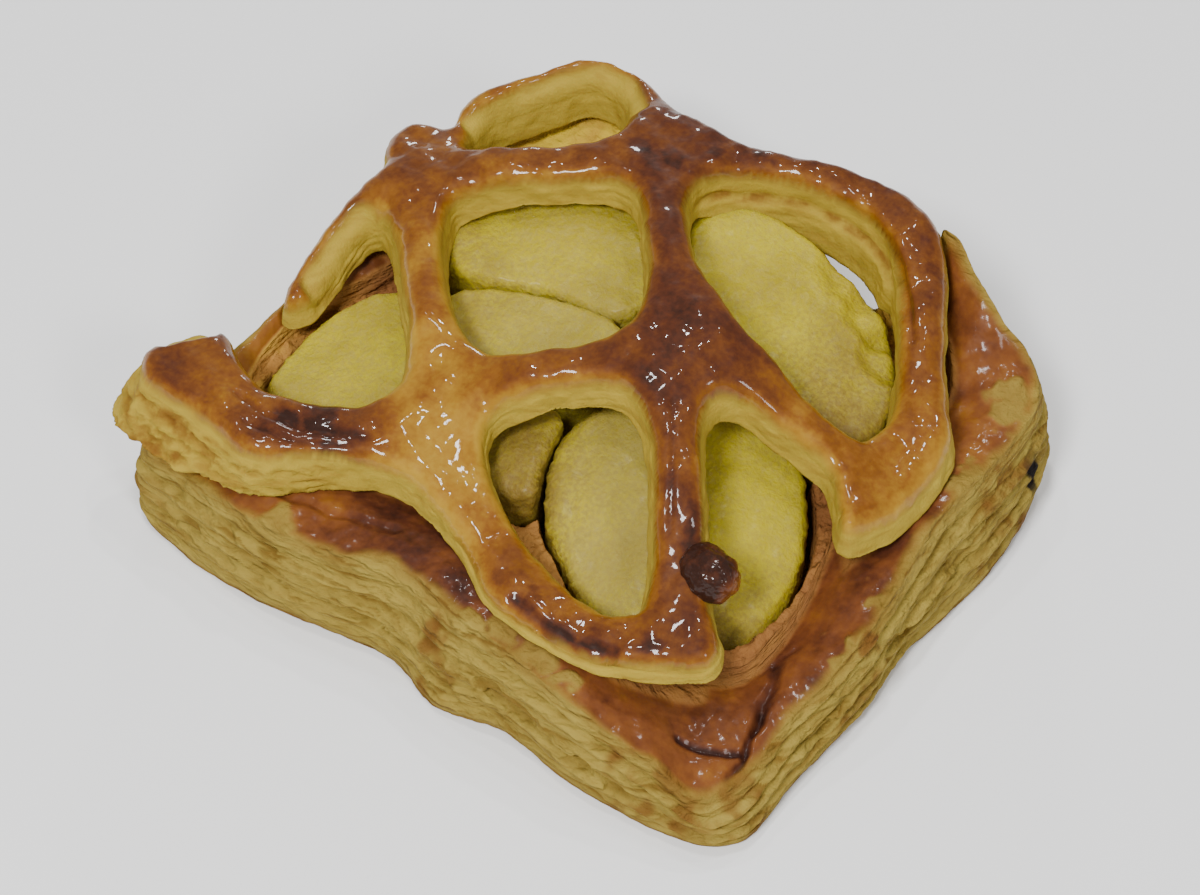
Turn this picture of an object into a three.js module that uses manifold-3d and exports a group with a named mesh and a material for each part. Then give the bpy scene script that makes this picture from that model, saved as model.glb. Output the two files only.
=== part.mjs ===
// Mini apple pie: a square puff-pastry case with low laminated walls, a domed lattice of glazed
// pastry baked over it, and seven apple slices lying in the well between the two.
// Millimetres, +Z up, the underside on z = 0. The long flaky side faces -Y, the thin pinched
// corner of the case is at +X -Y, and the thick folded corner of the lattice is at -X -Y.
import * as THREE from 'three';
import Module from 'manifold-3d';
import { mergeVertices } from 'three/addons/utils/BufferGeometryUtils.js';
import { TessellateModifier } from 'three/addons/modifiers/TessellateModifier.js';

// ---- driving dimensions ----------------------------------------------------------------------

// Middle of the finished piece as drawn below; it goes to the origin.
const MIDDLE = { x: -3.9, y: 4.7 };

// Case. Foot: where the wall meets the tray. Lip: the torn upper edge of the wall.
// Well: where the glazed rim ends and the hollow starts. Each point is [x, y, height].
const FOOT = [
  [-56.4, -41.9, 1], [-46, -45, 0.4], [-31.5, -45, 0.6], [-18.5, -42.8, 0.8], [-7.5, -41, 0.5],
  [2.5, -43.6, 0.4], [14, -41.5, 1.4], [25, -42.3, 0.5], [38, -41.6, 0.4], [47.2, -39.4, 0.4],
  [51.6, -35.5, 0.5], [52, -22.5, 0.6], [53.2, -8, 1.2], [52.2, 4.5, 0.6], [53.6, 15, 0.5],
  [54.4, 29, 1], [52.5, 42, 2.5], [46.5, 50.5, 1.5], [35, 52.8, 0.8], [20, 52, 0.6],
  [4, 51, 0.5], [-14, 51, 0.6], [-30, 52.5, 0.8], [-46, 53, 0.6], [-54.5, 48, 1],
  [-56.5, 36, 0.8], [-56, 20, 0.6], [-55, 4, 0.5], [-56, -12, 0.7], [-57.2, -28, 0.8],
];
const LIP = [
  [-55.5, -40.5, 14.5], [-47, -41, 14.5], [-38, -42, 16], [-29, -42.5, 17], [-16.5, -40.5, 18.5],
  [-6, -38, 20], [5, -39.5, 20], [16, -40, 19], [27, -40.5, 17], [38, -39.5, 13],
  [46.5, -38.5, 9], [49, -33, 9.5], [49.3, -22.5, 12], [51.2, -9.5, 15], [51, 3, 18],
  [49.3, 16, 19.5], [50.5, 31, 20], [49.5, 43.5, 21], [44.8, 48.4, 23],
  [39.3, 49.2, 26.8], [32.8, 51.2, 30.5],
  [27.6, 53.6, 33.6], [23.8, 54, 33], [20.3, 51.5, 21], [17, 50.3, 13.5], [12.5, 50.2, 12.5],
  [8.5, 50, 14], [5, 49.8, 23], [-3, 49.5, 26], [-14, 49.5, 26.5], [-25, 51, 27], [-36, 52, 26],
  [-47, 51.5, 23.5], [-54, 46, 22], [-55.5, 34, 22],
  [-55.3, 20, 21.5], [-54.5, 6, 20], [-55, -8, 19.5], [-55.5, -20, 18], [-57, -32, 15.5],
];
const WELL = [
  [-48, -26, 17.5], [-38, -28.5, 18], [-24, -28, 18.5], [-12, -24, 18], [-3, -23, 17.5],
  [7, -25.6, 17], [15, -29, 16.5], [24, -30, 15.5], [33, -25, 12], [39.5, -19, 10],
  [40.5, -12, 10.5], [39.8, -3, 12], [37.8, 5.5, 14], [36.6, 13.8, 15.6], [38.2, 26, 17.5],
  [38, 37, 19.5], [31, 45.5, 22], [23, 47, 19], [16.5, 47.3, 12.5], [9, 47.3, 12.5],
  [3.5, 46.8, 21], [-8, 46, 23], [-20, 45.5, 22], [-30, 42, 19], [-39, 38, 18.5],
  [-45.5, 31, 19], [-47.5, 20, 19.5], [-47, 8.5, 19.5], [-51, -3, 18.5], [-52, -10, 18.5],
  [-51.5, -19, 17.5],
];
const POLE = { x: -3, y: 5 };        // the case is drawn as a ring of profiles about this point
const CASE_STEPS = 112;              // profiles round the case
const CASE_FLOOR = 7;                // top of the pastry under the filling
const FLAT_FOOT_INSET = 6;           // the pastry touches the tray this far inside its edge
const FOOT_CURL = { inset: 2.1, share: 0.45 };  // the baked edge curls up off the tray
const WALL_LAYERS = 5;               // swollen bundles of layers that show in the wall
const LAYER_RELIEF = 0.8;            // how far each bundle stands proud
const LAYER_WANDER = 0.35;           // share of that relief that comes and goes along the wall
const WALL_BELLY = 1.1;              // the wall swells outwards half way up
const RIM_STATIONS = [0.2, 0.45, 0.72, 1];  // shares of the way from lip to well
const RIM_CREST = 1.3;               // the glazed rim is a little domed between lip and well
const LIP_ROLL = 0.4;                // the glaze starts just above the torn lip
const WELL_SLOPE = 3.2;              // width of the well's steep side
const WELL_FILLET = 0.4;             // height of its foot above the floor

// Lattice. The sheet is draped over the case: [x, y, height of its top, thickness].
const DRAPE = [
  [10.5, 7.5, 42, 7], [-2.5, 20, 42, 6.5], [-17, 38, 40, 7], [-31.5, 26.5, 38.5, 6.5],
  [-46, 13, 35.5, 8], [-31, -2.5, 34.5, 7], [-18, -17, 32, 7], [-4, -4, 37.5, 6.5],
  [21, -7, 37, 6.5], [29.5, -18.5, 30, 6], [34.5, -25, 23, 5], [24.5, -32.5, 23, 3.5],
  [6.5, -32, 24, 3.5], [-9, -26, 26.5, 5.5], [-25.5, -26.5, 28, 8.8], [-40, -32, 28, 10],
  [-56, -34, 27, 10], [30, 7, 34.5, 7], [42.5, 10, 26, 6.5], [41, 28, 29, 7],
  [30.5, 40, 33.5, 9], [17, 47.5, 37, 13], [0.5, 47.5, 39, 13], [-43, 46.5, 35, 10.5],
  [-51, 36, 32.5, 10], [-30.5, 51, 37, 9], [-52.5, 4.5, 32, 11], [-53, -6, 27, 6.5],
  [-52, -9.5, 23, 4], [-56.5, 24, 31, 8],
];
const DRAPE_REACH = 7.5;             // how far each of those heights makes itself felt
const OUTER_EDGE = [
  [-58.5, -38.8], [-50, -39.7], [-42.5, -39.6], [-35.5, -39.2], [-30.5, -36.6], [-26.3, -33.2],
  [-20.5, -30.2], [-14, -28.4], [-8, -29.3], [1, -32], [7, -35.6], [15.5, -36.2],
  [26.5, -34.8], [34, -30.8], [39, -26.8], [38.5, -23.6], [34.3, -20], [27.7, -12.3],
  [22.5, -6], [18.6, -0.5], [18.2, 3], [21, 5.9], [25.5, 6.8], [31, 7.4], [35.5, 7.3],
  [39, 4.2], [42.5, 0.8], [45.3, 6], [46.6, 15], [46, 23.5], [42, 29], [37.5, 35.3],
  [33, 42.5], [29.3, 48], [24.5, 52.8], [17.5, 55.2], [8.5, 53.8], [-1, 49.7], [-9, 47.7],
  [-19.5, 47.8], [-30.5, 52.3], [-38.5, 52.4], [-43.5, 49.5], [-47, 44.5], [-50.5, 40],
  [-52.7, 35.5], [-52.3, 31.5], [-51.5, 28.8], [-54, 27.7], [-57, 26], [-58, 22.5],
  [-56.8, 18.8], [-53.6, 15], [-54, 10], [-54.6, 4], [-54.4, -4], [-53.4, -9.3],
  [-51, -12.2], [-48.8, -9.4], [-49.4, -3], [-49.8, 2], [-49, 5.6], [-47, 6.8], [-44.5, 5.8],
  [-39, 1], [-34, -4], [-29.5, -8], [-26, -13], [-24.3, -17.5], [-26.5, -21.7], [-31.5, -25],
  [-37, -27.5], [-42.5, -29], [-48, -27.8], [-51.6, -24.6], [-54.5, -23], [-58, -25.2],
  [-61.4, -30.5], [-61.8, -35.5],
];
// The folded corner at -X -Y is thick, and its lower layers lean out past the glazed top.
const CORNER_LEAN = { out: 5, x: -0.4, y: -0.9, left: [30, 50], front: [18, 30] };
const OPENINGS = {
  middle: [
    [-38.5, 14.5], [-34.3, 18.7], [-26.5, 24.4], [-19.3, 28.6], [-14.5, 28.3], [-7.2, 20.7],
    [-1.5, 13.5], [0.7, 6.5], [-2, 1.8], [-7.5, -3], [-13, -6.2], [-18.5, -5.9], [-24.5, -3.2],
    [-31, 2.5], [-36, 8.3],
  ],
  front: [
    [-8.8, -14.3], [-5.2, -10.4], [-0.2, -6.4], [4.2, -4], [8.7, -3.8], [14, -7],
    [20.8, -15.3], [25.4, -22.6], [26.2, -26], [23.5, -27.9], [19, -28.6], [11.5, -27.2],
    [3, -24.5], [-4, -20.8], [-8, -17.3],
  ],
  right: [
    [-7.3, 32], [-7.5, 37], [-4.5, 41.3], [0.8, 44.5], [7, 46.8], [12.8, 47.4], [18.8, 45.6],
    [25.2, 40], [31, 32], [35.2, 24.5], [36.2, 19.5], [34.8, 15], [31, 13.9], [26, 14.4],
    [21, 14.9], [15.5, 14.6], [8.6, 17.4], [2, 20.9], [-3, 25.8],
  ],
  back: [
    [-47.4, 28.8], [-47.6, 34.5], [-44.8, 39.8], [-41.2, 45], [-38.7, 48], [-34.8, 48.7],
    [-30.4, 47], [-27, 43], [-25.2, 37.5], [-30, 31.5], [-38.2, 26.3], [-44.5, 25.2],
  ],
};
const EDGE_STEP = 2.6;               // spacing of the points along the cut edges
const EDGE_ROUND = 1.4;              // the glazed top rolls over into the cut sides
const FLAT_SHEET = { thick: 4.8, roll: 1.2 };  // the sheet as cut, before it is draped
const SHEET_FACET = 7.5;             // longest facet on the glazed top
const SHEET_SPLITS = 24;             // enough halvings to bring every facet under that
const BLISTER_RELIEF = 0.45;         // height of the soft blisters in the glazed top
const STUB = { x: 31.6, y: -16.6, z: 27, long: 4.6, wide: 3.9, tall: 4 };  // burnt knob of dough

// Apple slices: outline in plan, then the tilted cut face: [x, y, height, rise per mm in x, in y].
const SLICES = {
  apple_left: {
    outline: [[-46, -23], [-48, -14], [-47.2, -5.5], [-42.4, 1.6], [-36, 3.2], [-29.2, -3],
      [-24.6, -10], [-26.6, -18.6], [-36, -24]],
    face: [-38, -10, 21, 0.15, 0.12],
  },
  apple_middle_back: {
    outline: [[-39.4, 13.4], [-39.6, 19], [-36.4, 24], [-27, 30.4], [-15.6, 35.2],
      [-9.6, 31.6], [-4.8, 21.2], [-7.6, 14.6], [-20, 12.5], [-28.6, 9.2], [-35.4, 8.4]],
    face: [-22, 20, 28.6, 0, 0.2],
  },
  apple_middle_front: {
    outline: [[-32.4, 2.4], [-28.4, 7.4], [-20.2, 11], [-8, 13.2], [-3, 11.4], [-1.9, 3],
      [-8.6, -3.4], [-18, -5.6], [-27, -2.6]],
    face: [-16, 4, 26, 0, 0.25],
  },
  apple_right: {
    outline: [[-8.8, 35.5], [-3.2, 42], [6, 43.6], [13.5, 42.8], [23, 40.8], [29.6, 34.4],
      [33.8, 27], [34, 20.8], [31.2, 15.8], [22.6, 15], [9.6, 17.4], [-0.4, 23],
      [-5.8, 29.4]],
    face: [14, 28, 26.6, -0.16, 0.16],
  },
  apple_front: {
    outline: [[-1.5, -8], [-1.4, -4], [1.5, 0.6], [6, 3.2], [11.8, 2.6], [16.2, -2.4],
      [20.6, -8.6], [25.2, -16.4], [26, -21.4], [21, -25.2], [15.2, -23.8], [8.8, -20],
      [3.5, -16.8], [0, -12]],
    face: [12, -12, 20, -0.05, 0.42],
  },
  apple_front_left: {
    outline: [[-12.8, -14], [-12.4, -8.8], [-8.4, -5], [-4, -4.6], [-3, -8.3], [-1.7, -12.8],
      [-0.2, -16.4], [-4, -18.2], [-9.6, -17.6]],
    face: [-3, -10, 23.5, 0.1, 0.3],
  },
  apple_front_right: {
    outline: [[12.8, 7], [13.6, 13.8], [19, 15.2], [26.4, 13.6], [31, 9.4], [34.8, 3.6],
      [37.2, -4], [37.4, -11.8], [35.6, -17.6], [30.4, -20], [25.9, -13.2], [20.9, -5.9],
      [16.4, 0.6]],
    face: [28, -2, 16, -0.3, 0.25],
  },
};
const SLICE_STEP = 3;                // spacing of the points round a slice
const SLICE_ROUND = 2;               // its soft edge reaches this far in
const SLICE_RELIEF = 0.3;            // unevenness of its face
const SLICE_DROP = 5;                // depth over which the upper edge rolls off
const SLICE_LIFT = 3;                // height over which the lower edge rolls in
const REST_GAP = 0.4;                // clear space between a slice and the case's floor
const SHEET_GAP = 0.9;               // clear space between the case's rim and the lattice
const SHEET_CLEAR = [0.8, 2.8];      // the rim may rise again from here to here off its edge

const COLOURS = {
  case: { color: 0xd9bf82, roughness: 0.75, metalness: 0 },
  lattice: { color: 0x9c4f17, roughness: 0.3, metalness: 0 },
  apple: { color: 0xd0c860, roughness: 0.5, metalness: 0 },
};

// ---- helpers: curves, blends and relief ------------------------------------------------------

const TURN = 2 * Math.PI;

function closedCurve(points) {
  const knots = points.map(([x, y, z = 0]) => new THREE.Vector3(x, y, z));
  return new THREE.CatmullRomCurve3(knots, true, 'centripetal');
}

function plotRing(points, step) {
  const curve = closedCurve(points);
  const count = Math.round(curve.getLength() / step);
  return curve.getSpacedPoints(count).slice(0, count).map((p) => new THREE.Vector2(p.x, p.y));
}

// A ring seen from the pole: gives its distance and height at any bearing.
function polarRing(points) {
  const samples = closedCurve(points).getSpacedPoints(900).slice(0, 900).map((p) => ({
    bearing: (Math.atan2(p.y - POLE.y, p.x - POLE.x) + TURN) % TURN,
    reach: Math.hypot(p.x - POLE.x, p.y - POLE.y),
    height: p.z,
  }));
  samples.sort((a, b) => a.bearing - b.bearing);
  return (bearing) => {
    const angle = ((bearing % TURN) + TURN) % TURN;
    const next = samples.findIndex((s) => s.bearing > angle);
    const b = samples[next < 0 ? 0 : next];
    const a = samples[next <= 0 ? samples.length - 1 : next - 1];
    const span = (b.bearing - a.bearing + TURN) % TURN || 1;
    const t = ((angle - a.bearing + TURN) % TURN) / span;
    return {
      reach: THREE.MathUtils.lerp(a.reach, b.reach, t),
      height: THREE.MathUtils.lerp(a.height, b.height, t),
    };
  };
}

// Top and thickness of the draped sheet at a point: nearby named heights weigh most.
function sheetAt(x, y) {
  let weight = 0;
  let top = 0;
  let thick = 0;
  for (const [px, py, pTop, pThick] of DRAPE) {
    const far = (x - px) ** 2 + (y - py) ** 2;
    const w = Math.exp(-far / (2 * DRAPE_REACH ** 2)) + 1e-5 / (1 + far);
    weight += w;
    top += w * pTop;
    thick += w * pThick;
  }
  return { top: top / weight, thick: thick / weight };
}

// Distance from a point to a closed outline, negative inside it.
function edgeDistance(outline, x, y) {
  let nearest = Infinity;
  let inside = false;
  outline.forEach((a, i) => {
    const b = outline[(i + 1) % outline.length];
    const along = ((x - a.x) * (b.x - a.x) + (y - a.y) * (b.y - a.y)) / a.distanceToSquared(b);
    const t = THREE.MathUtils.clamp(along, 0, 1);
    nearest = Math.min(nearest, Math.hypot(a.x + t * (b.x - a.x) - x, a.y + t * (b.y - a.y) - y));
    const crosses = (a.y > y) !== (b.y > y);
    if (crosses && x < a.x + ((y - a.y) / (b.y - a.y)) * (b.x - a.x)) inside = !inside;
  });
  return inside ? -nearest : nearest;
}

// Soft uneven relief between -1 and 1.
function blister(x, y) {
  const broad = Math.sin(0.31 * x + 1.1) * Math.cos(0.27 * y - 0.6);
  const fine = Math.sin(0.83 * x + 0.6 * y) * Math.cos(0.71 * y - 0.45 * x + 2);
  return 0.6 * broad + 0.4 * fine;
}

// ---- the case --------------------------------------------------------------------------------

// Stations of one profile, from the middle of the underside, out, up the wall, over the rim and
// back down the well. Each returns [distance from the pole, height] for the rings at a bearing.
function caseProfile() {
  const stations = [
    () => [0, 0],
    ({ foot }) => [foot.reach * 0.5, 0],
    ({ foot }) => [foot.reach - FLAT_FOOT_INSET, 0],
    ({ foot }) => [foot.reach - FOOT_CURL.inset, FOOT_CURL.share * foot.height],
  ];
  const wallStations = 2 * WALL_LAYERS;
  for (let k = 0; k <= wallStations; k += 1) {
    stations.push(({ foot, lip, bearing }) => {
      const up = k / wallStations;
      const straight = THREE.MathUtils.lerp(foot.reach, lip.reach, up);
      const belly = WALL_BELLY * Math.sin(Math.PI * up);
      const wander = Math.sin(5 * bearing + 1.7 * k) + 0.6 * Math.sin(11 * bearing - 2.3 * k);
      const layer = (k % 2 ? 1 : -1) * (1 - LAYER_WANDER + LAYER_WANDER * wander);
      const edge = Math.min(1, 4 * up * (1 - up) + 0.15);   // calmer at foot and lip
      const height = THREE.MathUtils.lerp(foot.height, lip.height, up);
      return [straight + belly + LAYER_RELIEF * layer * edge, height];
    });
  }
  for (const across of RIM_STATIONS) {
    stations.push(({ lip, well }) => {
      const crest = RIM_CREST * Math.sin(Math.PI * across);
      const height = THREE.MathUtils.lerp(lip.height + LIP_ROLL, well.height, across);
      return [THREE.MathUtils.lerp(lip.reach, well.reach, across), height + crest];
    });
  }
  stations.push(
    ({ well }) => [well.reach - WELL_SLOPE / 2, (well.height + CASE_FLOOR) / 2],
    ({ well }) => [well.reach - WELL_SLOPE, CASE_FLOOR + WELL_FILLET],
    ({ well }) => [well.reach * 0.5, CASE_FLOOR],
    () => [0, CASE_FLOOR],
  );
  return stations;
}

function makeCase(sheetEdge) {
  const [footAt, lipAt, wellAt] = [FOOT, LIP, WELL].map(polarRing);
  const stations = caseProfile();
  const plainProfile = stations.map((_, j) => new THREE.Vector2(Math.sin(j), j));
  const geometry = new THREE.LatheGeometry(plainProfile, CASE_STEPS);
  const position = geometry.attributes.position;
  for (let i = 0; i <= CASE_STEPS; i += 1) {
    const bearing = ((i % CASE_STEPS) / CASE_STEPS) * TURN - Math.PI / 2;
    const rings = { bearing, foot: footAt(bearing), lip: lipAt(bearing), well: wellAt(bearing) };
    stations.forEach((station, j) => {
      const [reach, height] = station(rings);
      const x = POLE.x + reach * Math.cos(bearing);
      const y = POLE.y + reach * Math.sin(bearing);
      const { top, thick } = sheetAt(x, y);
      const room = Math.min(height, Math.max(top - thick - SHEET_GAP, CASE_FLOOR));
      const clear = THREE.MathUtils.smoothstep(edgeDistance(sheetEdge, x, y), ...SHEET_CLEAR);
      const z = THREE.MathUtils.lerp(room, height, clear);
      position.setXYZ(i * stations.length + j, x, y, z);
    });
  }
  return geometry;
}

// ---- the lattice -----------------------------------------------------------------------------

function leanAt(x, y) {
  const sideways = THREE.MathUtils.smoothstep(-x, ...CORNER_LEAN.left);
  return CORNER_LEAN.out * sideways * THREE.MathUtils.smoothstep(-y, ...CORNER_LEAN.front);
}

// A flat cut sheet with rounded edges, bent over the drape so that each column of points keeps
// its share of the local thickness.
function makeSheet(sheetEdge) {
  const shape = new THREE.Shape(sheetEdge);
  for (const ring of Object.values(OPENINGS)) {
    shape.holes.push(new THREE.Path(plotRing(ring, EDGE_STEP)));
  }
  const cut = new THREE.ExtrudeGeometry(shape, {
    depth: FLAT_SHEET.thick - 2 * FLAT_SHEET.roll, bevelThickness: FLAT_SHEET.roll,
    bevelSize: EDGE_ROUND, bevelOffset: -EDGE_ROUND, bevelSegments: 2, steps: 1,
  });
  const geometry = new TessellateModifier(SHEET_FACET, SHEET_SPLITS).modify(cut);
  const position = geometry.attributes.position;
  for (let i = 0; i < position.count; i += 1) {
    const [x, y] = [position.getX(i), position.getY(i)];
    const share = (position.getZ(i) + FLAT_SHEET.roll) / FLAT_SHEET.thick;
    const { top, thick } = sheetAt(x, y);
    const relief = BLISTER_RELIEF * blister(x, y) * share;
    const lean = leanAt(x, y) * (0.5 - share);
    position.setXYZ(
      i, x + CORNER_LEAN.x * lean, y + CORNER_LEAN.y * lean, top - thick * (1 - share) + relief,
    );
  }
  return geometry;
}

function makeStub() {
  const geometry = new THREE.SphereGeometry(1, 16, 10);
  geometry.scale(STUB.long, STUB.wide, STUB.tall);
  geometry.translate(STUB.x, STUB.y, STUB.z);
  return geometry;
}

function joined(wasm, ...geometries) {
  const solids = geometries.map((geometry) => {
    geometry.deleteAttribute('normal');
    geometry.deleteAttribute('uv');
    const merged = mergeVertices(geometry);
    return new wasm.Manifold(new wasm.Mesh({
      numProp: 3,
      vertProperties: new Float32Array(merged.attributes.position.array),
      triVerts: new Uint32Array(merged.index.array),
    }));
  });
  const mesh = solids.reduce((whole, piece) => whole.add(piece)).getMesh();
  const geometry = new THREE.BufferGeometry();
  geometry.setAttribute('position', new THREE.BufferAttribute(mesh.vertProperties, 3));
  geometry.setIndex(new THREE.BufferAttribute(mesh.triVerts, 1));
  geometry.computeVertexNormals();
  return geometry;
}

// ---- the apple slices ------------------------------------------------------------------------

// A wedge that stands on the case's floor; its cut face is tilted and slightly blistered.
function makeSlice({ outline, face }) {
  const [faceX, faceY, faceHeight, riseX, riseY] = face;
  const tall = 10;
  const geometry = new THREE.ExtrudeGeometry(new THREE.Shape(plotRing(outline, SLICE_STEP)), {
    depth: tall - 2 * SLICE_ROUND, bevelThickness: SLICE_ROUND, bevelSize: SLICE_ROUND,
    bevelOffset: -SLICE_ROUND, bevelSegments: 2, steps: 1,
  });
  const position = geometry.attributes.position;
  const bottom = CASE_FLOOR + WELL_FILLET + REST_GAP;
  for (let i = 0; i < position.count; i += 1) {
    const [x, y] = [position.getX(i), position.getY(i)];
    const share = (position.getZ(i) + SLICE_ROUND) / tall;
    const swell = SLICE_RELIEF * blister(y, x);
    const top = faceHeight + riseX * (x - faceX) + riseY * (y - faceY) + swell;
    const upper = top - 2 * SLICE_DROP * (1 - share);
    const lower = bottom + 2 * SLICE_LIFT * share;
    position.setZ(i, share > 0.5 ? upper : lower);
  }
  return geometry;
}

// ---- the whole piece -------------------------------------------------------------------------

function named(name, geometry, finish) {
  const mesh = new THREE.Mesh(geometry, new THREE.MeshStandardMaterial(finish));
  mesh.name = name;
  return mesh;
}

const wasm = await Module();
wasm.setup();

const sheetEdge = plotRing(OUTER_EDGE, EDGE_STEP);
const group = new THREE.Group();
group.add(named('case', makeCase(sheetEdge), COLOURS.case));
group.add(named('lattice', joined(wasm, makeSheet(sheetEdge), makeStub()), COLOURS.lattice));
for (const [name, slice] of Object.entries(SLICES)) {
  group.add(named(name, makeSlice(slice), COLOURS.apple));
}
group.position.set(-MIDDLE.x, -MIDDLE.y, 0);

export default group;
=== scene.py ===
# %% [markdown]
# # A mini apple pie
# The real pie is a square case of puff pastry with low flaky walls. Slices of cooked apple lie in
# its well, and a slit sheet of egg-glazed pastry is baked over them as a domed lattice. The packed
# CAD model gives the place and size of every part, so it is loaded first and its box is kept.

# %% Load the frame
import math
import bmesh
import bpy
import numpy as np
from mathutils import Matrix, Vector


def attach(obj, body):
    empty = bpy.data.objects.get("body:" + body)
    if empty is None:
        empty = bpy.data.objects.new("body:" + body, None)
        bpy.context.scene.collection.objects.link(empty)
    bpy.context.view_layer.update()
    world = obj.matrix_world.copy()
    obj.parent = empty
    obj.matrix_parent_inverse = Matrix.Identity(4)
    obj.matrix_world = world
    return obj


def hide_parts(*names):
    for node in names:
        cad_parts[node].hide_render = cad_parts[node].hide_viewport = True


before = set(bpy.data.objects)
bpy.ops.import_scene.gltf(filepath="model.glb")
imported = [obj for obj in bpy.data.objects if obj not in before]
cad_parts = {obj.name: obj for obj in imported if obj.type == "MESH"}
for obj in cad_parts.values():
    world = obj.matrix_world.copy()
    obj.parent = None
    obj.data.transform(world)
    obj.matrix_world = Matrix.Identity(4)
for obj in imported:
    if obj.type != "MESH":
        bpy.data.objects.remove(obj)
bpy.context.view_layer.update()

# %% [markdown]
# ## Shapes drawn in plan
# Pastry is cut flat and then draped, so every piece starts as an outline in plan, in millimetres,
# and is bent afterwards. These helpers turn a few named points into smooth closed rings, as a
# pastry wheel would cut them, and bring plan millimetres into the metres of the frame.

# %% Plan millimetres and easy steps
MM = 0.001
MIDDLE = np.array([-3.9, 4.7, 0.0])   # middle of the plan; it goes to the origin
POLE = np.array([-3.0, 5.0])          # the case is drawn as profiles round this point


def to_frame(points):
    """Plan millimetres to metres in the row frame."""
    return (np.asarray(points, float) - MIDDLE) * MM


def smoothstep(low, high, value):
    """0 below low, 1 above high, and an easy S between them."""
    share = np.clip((value - low) / (high - low), 0.0, 1.0)
    return share * share * (3.0 - 2.0 * share)


def lerp(a, b, share):
    return a + (b - a) * share


print("the pole is at", to_frame([*POLE, 0.0]).round(4), "m in the frame")

# %% Smooth rings


def closed_curve(points, per_span=24):
    """A smooth closed curve through the points (centripetal Catmull-Rom)."""
    p1 = np.asarray(points, float)
    p0, p2, p3 = np.roll(p1, 1, 0), np.roll(p1, -1, 0), np.roll(p1, -2, 0)
    gap0, gap1, gap2 = (
        np.sqrt(np.linalg.norm(b - a, axis=1))[:, None] for a, b in ((p0, p1), (p1, p2), (p2, p3))
    )
    out = ((p1 - p0) / gap0 - (p2 - p0) / (gap0 + gap1) + (p2 - p1) / gap1) * gap1
    into = ((p2 - p1) / gap1 - (p3 - p1) / (gap1 + gap2) + (p3 - p2) / gap2) * gap1
    t = np.linspace(0, 1, per_span, endpoint=False)[:, None, None]
    curve = p1 + out * t + (3 * (p2 - p1) - 2 * out - into) * t**2
    curve = curve + (2 * (p1 - p2) + out + into) * t**3
    return curve.transpose(1, 0, 2).reshape(-1, p1.shape[1])


def even_ring(points, step):
    """The same curve with its points a step apart."""
    curve = closed_curve(points)
    around = np.vstack([curve, curve[:1]])
    walked = np.concatenate([[0], np.cumsum(np.linalg.norm(np.diff(around, axis=0), axis=1))])
    marks = np.linspace(0, walked[-1], int(round(walked[-1] / step)), endpoint=False)
    return np.column_stack([np.interp(marks, walked, around[:, k]) for k in range(curve.shape[1])])


def turned(ring, clockwise):
    """The ring, run clockwise or the other way round."""
    after = np.roll(ring, -1, axis=0)
    area = (ring[:, 0] * after[:, 1] - after[:, 0] * ring[:, 1]).sum()
    return ring[::-1] if (area < 0) != clockwise else ring


def by_bearing(points, bearings):
    """Distance from the pole and height of a closed ring at each bearing."""
    curve = closed_curve(points, 60)
    seen_at = np.arctan2(curve[:, 1] - POLE[1], curve[:, 0] - POLE[0]) % math.tau
    reach = np.hypot(curve[:, 0] - POLE[0], curve[:, 1] - POLE[1])
    order = np.argsort(seen_at)
    wrapped = np.asarray(bearings) % math.tau
    return [np.interp(wrapped, seen_at[order], row[order], period=math.tau) for row in (reach, curve[:, 2])]


print("a 30 mm square, rounded, has", len(even_ring([[0, 0], [30, 0], [30, 30], [0, 30]], 1.0)), "points")

# %% [markdown]
# ## Unevenness
# Nothing baked is smooth. Seeded gradient noise gives blisters, torn layers and crumb the same way
# on every run. It is worked out for whole arrays of points at once, which keeps fine meshes quick.

# %% Noise for shapes
GRADIENTS = np.random.default_rng(7).normal(size=(512, 3))
GRADIENTS /= np.linalg.norm(GRADIENTS, axis=1)[:, None]


def ripple(points, size, seed=0):
    """Smooth noise from about -1 to 1 whose bumps are about size apart."""
    where = np.asarray(points, float) / size + 31.7 * seed
    cell = np.floor(where).astype(np.int64)
    inside = where - cell
    fade = inside**3 * (inside * (inside * 6 - 15) + 10)
    total = np.zeros(len(where))
    for corner in np.ndindex(2, 2, 2):
        key = (cell + corner) * (73856093, 19349663, 83492791)
        mixed = key[:, 0] ^ key[:, 1] ^ key[:, 2]
        mixed = (mixed ^ (mixed >> 15)) * 2246822519
        slope = GRADIENTS[(mixed >> 11) & 511]
        weight = np.prod(np.where(corner, fade, 1 - fade), axis=1)
        total += weight * ((inside - corner) * slope).sum(1)
    return 1.7 * total


def crumple(points, size, octaves=3, seed=0):
    """Ripples on ripples, each half the size of the last."""
    return sum(ripple(points, size / 2**k, seed + k) / 2**k for k in range(octaves))


def veins(points, size, seed=0):
    """Thin ridges that branch and meet: 1 along a ridge, 0 in the hollows between them."""
    return np.clip(1 - 2.6 * np.abs(ripple(points, size, seed)), 0, 1)


print("noise check", np.round(ripple([[1, 2, 3], [4, 5, 6]], 2.0), 3))

# %% [markdown]
# ## The lattice as it was cut
# The baker slits a sheet of pastry and pulls it open over the fruit. In plan that is one outline
# with four openings, and two bays where the outline bites in. Each named height of the drape says
# how high the glazed top is there and how thick the pastry is; between them the sheet follows the
# nearest ones, as a limp sheet does over a few lumps.

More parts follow.
